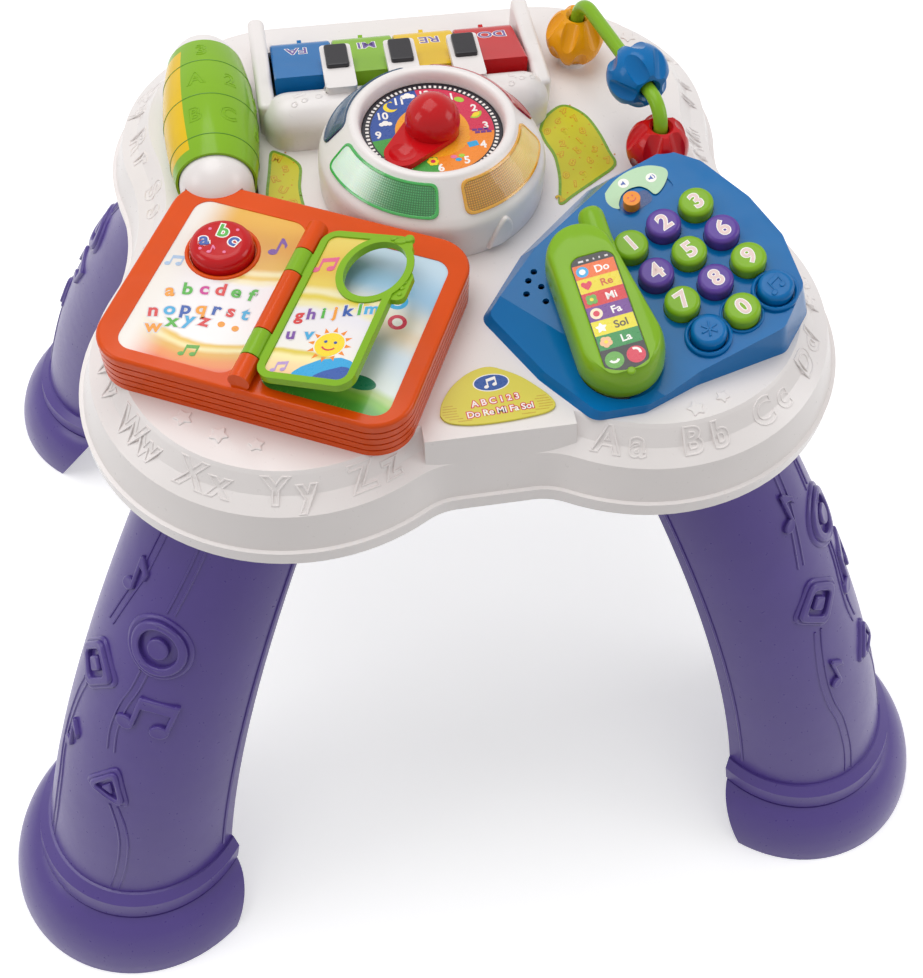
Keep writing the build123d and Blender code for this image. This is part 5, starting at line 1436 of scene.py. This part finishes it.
# Red button: a domed cap in a raised orange ring, with three outlined letters printed on it.
finish(red_abs, "red_button")
button_x, button_y = -38.7, 22.9
ring = plate([circle(17.9), circle(15.7)], 1.3, bevel=0.9)
ring_place = at(book, button_x, button_y, 21.2)
assemble("button_ring", [(ring, ring_place, orange_abs)], "table")
button_face = at(book, 0, 0, 30)
prints = []
for mark, x, y, turn, colour in (
    ("a", -45.6, 19.6, 24, letter_inks["blue"]),
    ("b", -39.4, 28.4, 4, letter_inks["green"]),
    ("c", -32.6, 23.6, -16, letter_inks["blue"]),
):
    spot = at(button_face, x, y, 0, turn)
    prints += lettering(mark, 7.6, spot, colour, white_ink, 0.6, bold=0.3, lift=0.12)
prints += printed(note_outlines(5.4, False), 0.2, at(button_face, -40.5, 15.6, 0, 6), pink_ink)
for x, y in ((-33.5, 31), (-46, 27.6), (-45.4, 14.6), (-34, 16)):
    prints.append((plate([circle(0.8, steps=12)], 0.14), at(button_face, x, y), pink_ink))
assemble("button_print", prints, "button_body", onto="red_button")

# Hinged page: the lime frame keeps its film, with an oval opening and a finger tab.
finish(lime_abs, "book_page")
lean = radians(12.0)
book_x_dir = Vector((cos(book_turn), sin(book_turn), 0))
leaf = stand(
    (-87, -81, deck_z + 26),
    book_x_dir * cos(lean) + Vector((0, 0, sin(lean))),
    Vector((0, 0, cos(lean))) - book_x_dir * sin(lean),
)
leaf_film = banded_film(
    "hinged_page_film",
    leaf,
    [
        (-45, "F3C08A"), (-38, "F6D7A0"), (-33, "F7E9A8"), (-30, "DDC63E"), (-28, "EFEAE2"),
        (-14, "EAE5E6"), (-5, "E4E0E6"), (-1, "E9DFAC"), (3, "DCC63A"), (6, "EADFB0"),
        (11, "E0C448"), (20, "DDB436"), (45, "E4CC5A"),
    ],
    bend=5.0,
    middle=20.0,
)
leaf_low, leaf_high, leaf_inner, leaf_outer = -43.4, 41.4, 9.6, 48.4
oval_x, oval_y, oval_a, oval_b = 38.7, 22.9, 18.0, 21.1
cut_angle = degrees(acos((leaf_outer - oval_x) / oval_a))
film_outline = [(leaf_inner, leaf_low), (leaf_outer, leaf_low)]
oval_steps = 40
for step in range(oval_steps + 1):
    a = radians(-cut_angle - (360 - 2 * cut_angle) * step / oval_steps)
    film_outline.append((oval_x + oval_a * cos(a), oval_y + oval_b * sin(a)))
film_outline += [(leaf_outer, leaf_high), (leaf_inner, leaf_high)]
leaf_top = at(leaf, 0, 0, 1.5)
prints = [(plate([film_outline], 0.06), leaf_top, leaf_film)]
leaf_rows = [
    ("ghijklm", (14.1, -10.0), (46.2, -1.6), "red purple green orange blue green cyan"),
    ("uv", (14.4, -21.3), (22.9, -20.3), "purple cyan"),
]
for text, start, end, colours in leaf_rows:
    steps = len(text) - 1
    for number, (mark, colour) in enumerate(zip(text, colours.split())):
        share = number / steps
        x = start[0] + (end[0] - start[0]) * share
        y = start[1] + (end[1] - start[1]) * share
        spot = at(leaf_top, x, y - 2.0, 0, 10)
        colours_of = (letter_inks[colour], glow_ink)
        prints += lettering(
            mark, letter_size * 1.15, spot, *colours_of, 0.5, bold=0.3, lift=0.1, centred=False
        )
for x, y, size, colour in (
    (14.8, 23.2, 11, ink("rose", "E0648A")),
    (16.6, -39.5, 7, ink("lilac", "B99AD0")),
):
    prints += printed(note_outlines(size, True), 0.12, at(leaf_top, x, y), colour)

# The page's picture: a smiling sun over two hills.
sun = at(leaf_top, 34, -24, 0)
for turn in range(0, 360, 30):
    ray = [(7.4, -1.1), (10.4, 0), (7.4, 1.1)]
    prints.append((plate([ray], 0.12), at(sun, 0, 0, 0, turn), dial_orange))
prints.append((plate([circle(6.8)], 0.14), sun, lemon_ink))
for x in (-2.3, 2.3):
    prints.append((plate([circle(0.8, steps=12)], 0.2), at(sun, x, 1.4), dial_blue))
prints.append((plate([wedge_outline(3.2, 4.0, 215, 325)], 0.2), at(sun, 0, 0.4), red_ink))
far_hill = [
    (leaf_inner + 12, leaf_low), (leaf_outer, leaf_low), (leaf_outer, -32),
    (42, -30.5), (33, -33), (26, -38),
]
near_hill = [
    (leaf_inner + 22, leaf_low), (leaf_outer, leaf_low), (leaf_outer, -35.5),
    (44, -35.5), (37, -39),
]
prints.append((plate([rounded(far_hill, 2.5)], 0.1), leaf_top, sky_ink))
prints.append((plate([rounded(near_hill, 2.5)], 0.16), leaf_top, letter_inks["blue"]))
assemble("hinged_page_print", prints, "page_body")

# A moulded sprig on the frame's corner, and four grip dots on its finger tab.
sprig = [
    (3.4, 0.6, 1.4, 0.9, 45.2, 41.6, 15),
    (2.4, 1.0, 1.6, 0.9, 48.6, 43.4, 0),
    (1.8, 0.7, 1.4, 0.7, 41.4, 42.6, 40),
]
trim = []
for radius, squeeze, height, bevel, x, y, turn in sprig:
    drop = plate([circle(radius, squeeze=squeeze)], height, bevel=bevel)
    trim.append((drop, at(leaf_top, x, y, 0.4, turn), lime_abs))
for y in (9.5, 13.2, 16.9, 20.6):
    dot = plate([circle(1.1, steps=16)], 0.7, bevel=0.5)
    trim.append((dot, at(leaf_top, 55.2, y), lime_abs))
assemble("hinged_page_trim", trim, "page_body")

# ---- Phone panel ---------------------------------------------------------------------
# A sloping glossy blue ABS moulding, screwed from under the deck, with a pale green film stuck
# round its orange mode slider.
finish(blue_abs, "phone_panel")
pad_turn = radians(24.15)
pad = stand((107.3, -76.9, 385.2), (cos(pad_turn), sin(pad_turn), 0), (-0.172, -0.154, 1.0))
# Pale green film under varnish, printed a little unevenly.
mode_film = moulded("pale_green_mode_film", "B5D8B0", roughness=0.3, flow=0.12)
mode_corners = [
    (-9.4, 54.2), (-2, 57.2), (5.3, 57.9), (12, 56.8), (17.6, 54), (22, 49.2), (22.4, 45.6),
    (19.8, 42.6), (14.5, 39.4), (9.6, 38.6), (8.4, 43.6), (6.2, 47.2), (1.5, 49), (-3.4, 48.4),
    (-7.6, 45.2), (-9.2, 42.6), (-11.4, 45.4), (-11.6, 50),
]
mode_outline = smooth_run(mode_corners + mode_corners[:1], 4)[:-1]
prints = [(plate([mode_outline], 0.06), pad, mode_film)]
# Painted shade: a dark blue sheet laid in the slider's recess, where the blue panel lies in shade.
slot_painted_shade = ink("painted_recess_shade", "0A3E7E")
slot_shape = rounded([(-9, 36.6), (7.5, 36.6), (8.5, 45), (-8, 45)], 4)
prints.append((plate([slot_shape], 0.04), at(pad, 0, 0, -0.76), slot_painted_shade))
cone = [(-1.5, -0.5), (-0.6, -0.5), (0.5, -1.4), (0.5, 1.4), (-0.6, 0.5), (-1.5, 0.5)]
for x, y in ((1.3, 53.4), (13.9, 47.6)):
    prints.append((plate([circle(2.7)], 0.1), at(pad, x, y), white_ink))
    prints.append((plate([cone], 0.14), at(pad, x, y), letter_inks["blue"]))
sound_wave = plate([wedge_outline(1.5, 1.9, -45, 45)], 0.14)
prints.append((sound_wave, at(pad, 13.9, 47.6), letter_inks["blue"]))
assemble("mode_print", prints, "table")
# Amber ABS, polished by fingers as much as by its mould.
knob_amber = moulded("amber_slider_ABS", "F08E08", roughness=0.2, shine=0.3)
finish(knob_amber, "mode_slider")
slider_x, slider_y, slider_top = -3, 41.2, 5.0
smile = []
for x in (-1.2, 1.2):
    eye = plate([circle(0.45, steps=12)], 0.12)
    smile.append((eye, at(pad, slider_x + x, slider_y + 1, slider_top), letter_inks["red"]))
mouth = plate([wedge_outline(1.7, 2.2, 210, 330)], 0.12)
smile.append((mouth, at(pad, slider_x, slider_y, slider_top), letter_inks["red"]))
assemble("slider_smile", smile, "slider_body")

# Low collars of the panel round the three lowest keys, the middle one thinner.
low_row_y, collar_hole = -39.6, 9.0
collar_sizes = [(-19.5, 11.2, 2.2, 1.0), (19.5, 11.2, 2.2, 1.0), (0, 10.4, 1.0, 0.6)]
collars = []
for x, outer, height, bevel in collar_sizes:
    collar = plate([circle(outer), circle(collar_hole)], height, bevel=bevel)
    collars.append((collar, at(pad, x, low_row_y), blue_abs))
assemble("key_collars", collars, "table")

# ---- Number keys ---------------------------------------------------------------------
# Twelve domed ABS keys in lime, purple and blue. Numbers are tampo-printed in white with a pink
# edge, and the star and note are raised.
# Purple ABS from a polished mould, brighter and glossier than the legs.
key_purple = moulded(
    "glossy_purple_key_ABS", "5C3E9A", roughness=0.18, flow=0.06, wave=0.4, shine=0.25
)
key_face = ink("pale_pink_number", "E2C6C2")
key_pitch_x, key_pitch_y = 19.5, 19.8
key_top = 7.0
key_rows = [("1", "2", "3"), ("4", "5", "6"), ("7", "8", "9"), ("star", "0", "note")]
for row, names in enumerate(key_rows):
    for column, name in enumerate(names):
        spot = at(pad, (column - 1) * key_pitch_x, (1 - row) * key_pitch_y, key_top)
        body = f"key_{name}_body"
        if name in ("star", "note"):
            finish(blue_abs, f"key_{name}")
            outlines = note_outlines(9, True) if name == "note" else []
            if name == "star":
                for turn in (0, 60, 120):
                    bar = [(-4, -0.55), (4, -0.55), (4, 0.55), (-4, 0.55)]
                    c, s = cos(radians(turn)), sin(radians(turn))
                    outlines.append([(x * c - y * s, x * s + y * c) for x, y in bar])
            marks = [(plate([outline], 0.5, bevel=0.3), spot, blue_abs) for outline in outlines]
            assemble(f"key_{name}_mark", marks, body)
            continue
        finish(lime_abs if int(name) % 2 or name == "0" else key_purple, f"key_{name}")
        prints = lettering(name, 8.4, spot, key_face, white_ink, 0.42, bold=0.18, lift=0.08)
        assemble(f"key_{name}_number", prints, body)

# ---- Handset -------------------------------------------------------------------------
# A chunky lime toy telephone, rounded all over, with a stub aerial, an earpiece slot and a sunk
# screen of coloured rows with sol-fa names.
handset = at(pad, -53, -6, 0, -20)
handset_circles = [((-3.4, 30.4), 17.2), ((0.6, -19.6), 20.8)]
screen_middle, screen_half = (0.0, -5.0), (10.0, 31.0)
case_steps = 120


def pear(inward, height):
    """Points of the handset's outline at a height, drawn a distance inside."""
    spots = []
    for step in range(case_steps):
        a = 2 * pi * step / case_steps
        n = Vector((cos(a), sin(a)))
        centre, radius = max(handset_circles, key=lambda item: Vector(item[0]).dot(n) + item[1])
        x = centre[0] + (radius - inward) * n.x
        y = centre[1] + (radius - inward) * n.y
        spots.append((x * mm, y * mm, height * mm))
    return spots


def screen_ring(grow, corner, height):
    """Points of the screen's rounded rectangle at a height, drawn a distance outside."""
    spots = []
    for step in range(case_steps):
        a = 2 * pi * step / case_steps
        n = Vector((cos(a), sin(a)))
        inner = (screen_half[0] - corner, screen_half[1] - corner)
        sx = inner[0] if n.x > 1e-9 else -inner[0]
        sy = inner[1] if n.y > 1e-9 else -inner[1]
        x = screen_middle[0] + sx + (corner + grow) * n.x
        y = screen_middle[1] + sy + (corner + grow) * n.y
        spots.append((x * mm, y * mm, height * mm))
    return spots


def skinned(rings):
    """A skin through rings of points, with its last ring filled."""
    count = len(rings[0])
    points = [spot for ring in rings for spot in ring]
    faces = ring_faces(len(rings), count)
    faces.append(tuple(range((len(rings) - 1) * count, len(rings) * count)))
    mesh = bpy.data.meshes.new("skin")
    mesh.from_pydata(points, [], faces)
    return mesh


# The case's rounded side from its foot to its top, as distance inside and height, and then the
# edge of the sunk screen.
case_side = [
    (1.4, -0.4), (0.5, 0.6), (0.1, 2.5), (0, 7), (0.2, 11), (0.6, 14.5), (1.2, 17.4),
    (2.0, 19.8), (2.8, 21.1), (3.6, 21.7),
]
screen_corner = 5
screen_edge = [(1.3, 21.8), (0.6, 21.6), (0.3, 20.9)]
case_rings = [pear(inward, height) for inward, height in case_side]
case_rings += [screen_ring(grow, screen_corner, height) for grow, height in screen_edge]
aerial_profile = [(6.5, 0), (6.5, 21), (6.3, 23.5), (5.4, 25.6), (3.6, 26.8), (0.2, 27)]
aerial_mesh = spun(aerial_profile, 40)
aerial_foot = Matrix.Translation(Vector((8, 30, 11)) * mm)
aerial_spot = handset @ aerial_foot @ Matrix.Rotation(radians(-90), 4, "X")
case_shapes = [(skinned(case_rings), handset, lime_abs), (aerial_mesh, aerial_spot, lime_abs)]
case = assemble("handset_shell", case_shapes, "handset_body")
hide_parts("handset_case")
# The earpiece slot is drawn as a flat patch of painted shade in the darker groove lime.
earpiece = rounded([(-4.2, -0.8), (4.2, -0.8), (4.2, 0.8), (-4.2, 0.8)], 0.8)
details = [
    (plate([earpiece], 0.15), at(handset, -2.0, 34.4, 21.6, 4), groove_painted_shade),
    (plate([circle(2.0)], 1.0, bevel=0.8), at(handset, 0.5, -37.6, 21.0), lime_abs),
]
assemble("handset_details", details, "handset_body")
finish(lime_abs, "handset_case")

# Screen: black film with a status bar, six rows and two round call buttons.
finish(black_abs, "handset_screen")
screen = at(handset, screen_middle[0], screen_middle[1], 21.2)
screen_black = ink("screen_black", "141014")
film_ring = screen_ring(0.3, screen_corner, 0)
film_loop = [(x / mm - screen_middle[0], y / mm - screen_middle[1]) for x, y, _ in film_ring]
prints = [(plate([film_loop], 0.03), screen, screen_black)]
# Each row's name, paper, text ink, icon and icon ink.
row_looks = [
    ("Do", ink("row_orange", "E8681F"), white_ink, "circle", sky_ink),
    ("Re", ink("row_yellow", "E6D11C"), ink("row_rust", "C8501C"), "heart", red_ink),
    ("Mi", ink("row_red", "D22328"), white_ink, "clover", hill_ink),
    ("Fa", ink("row_purple", "6A2C8C"), white_ink, "ring", ink("row_cream", "F3E2C2")),
    ("Sol", ink("row_lemon", "E9DA1E"), ink("row_brown", "4A3B2A"), "star", white_ink),
    ("La", ink("row_green", "128A3C"), white_ink, "flower", ink("row_peach", "F1BC8C")),
]
rows_top, row_height, row_half = 27.0, 7.7, 9.9
for number, (name, paper, text_ink, icon, icon_ink) in enumerate(row_looks):
    top = rows_top - number * row_height
    low = top - row_height
    row = [(-row_half, low), (row_half, low), (row_half, top), (-row_half, top)]
    prints.append((plate([row], 0.06), screen, paper))
    middle = top - row_height / 2
    word = letters(name, 3.9, rise=0.1, bold=0.12)
    prints.append((word, at(screen, 3.2, middle, 0, 3), text_ink))
    spot = at(screen, -6.0, middle)
    if icon == "star":
        prints.append((plate([rounded(star(3.1), 0.4, 2)], 0.1), spot, icon_ink))
    elif icon in ("clover", "flower"):
        turns = range(45, 405, 90 if icon == "clover" else 72)
        prints += printed(petal_ring(1.5, 1.5, turns, 14), 0.1, spot, icon_ink)
        prints.append((plate([circle(0.9, steps=12)], 0.28), spot, lemon_ink))
    elif icon == "heart":
        heart = [
            (0, -2.6), (2.6, 0.4), (2.3, 2), (1.2, 2.4),
            (0, 1.4), (-1.2, 2.4), (-2.3, 2), (-2.6, 0.4),
        ]
        prints.append((plate([rounded(heart, 0.7, 3)], 0.1), spot, icon_ink))
    else:
        prints.append((plate([circle(2.9)], 0.1), spot, icon_ink))
        middle_ink = white_ink if icon == "circle" else red_ink
        prints.append((plate([circle(1.5)], 0.14), spot, middle_ink))
for x, colour, turn in ((-5, hill_ink, 0), (5, red_ink, 135)):
    prints.append((plate([circle(4.3)], 0.08), at(screen, x, -25.2), colour))
    receiver = plate([wedge_outline(1.5, 2.7, 205, 335)], 0.12)
    prints.append((receiver, at(screen, x, -24.2, 0, turn), white_ink))
low, top = 28.2, 29.2
for x, width in ((-6.4, 2.4), (-2.6, 1.2), (0.6, 0.7), (3.4, 0.7), (6.2, 1.6)):
    mark = [(x, low), (x + width, low), (x + width, top), (x, top)]
    prints.append((plate([mark], 0.1), screen, glow_ink))
assemble("screen_print", prints, "handset_body")

# ---- Inside --------------------------------------------------------------------------
# Pieces held inside the case: green solder-masked boards, the loudspeaker's black frame, two
# jacketed cells and the clip under the clock hand.
# Green solder mask over copper: even colour, darker where it runs over tracks.
mask_green = moulded("green_solder_mask", "1F5A3A", roughness=0.4, flow=0.2)
finish(mask_green, "main_board", "light_board", "keypad_board", "piano_switch_board")
# Shrunk printed jacket on the cells: dark, with a soft gloss.
cell_jacket = moulded("printed_cell_jacket", "2B2A30", roughness=0.3, flow=0.1)
finish(cell_jacket, "battery_cells")
finish(black_abs, "speaker")
finish(red_abs, "hand_clip")
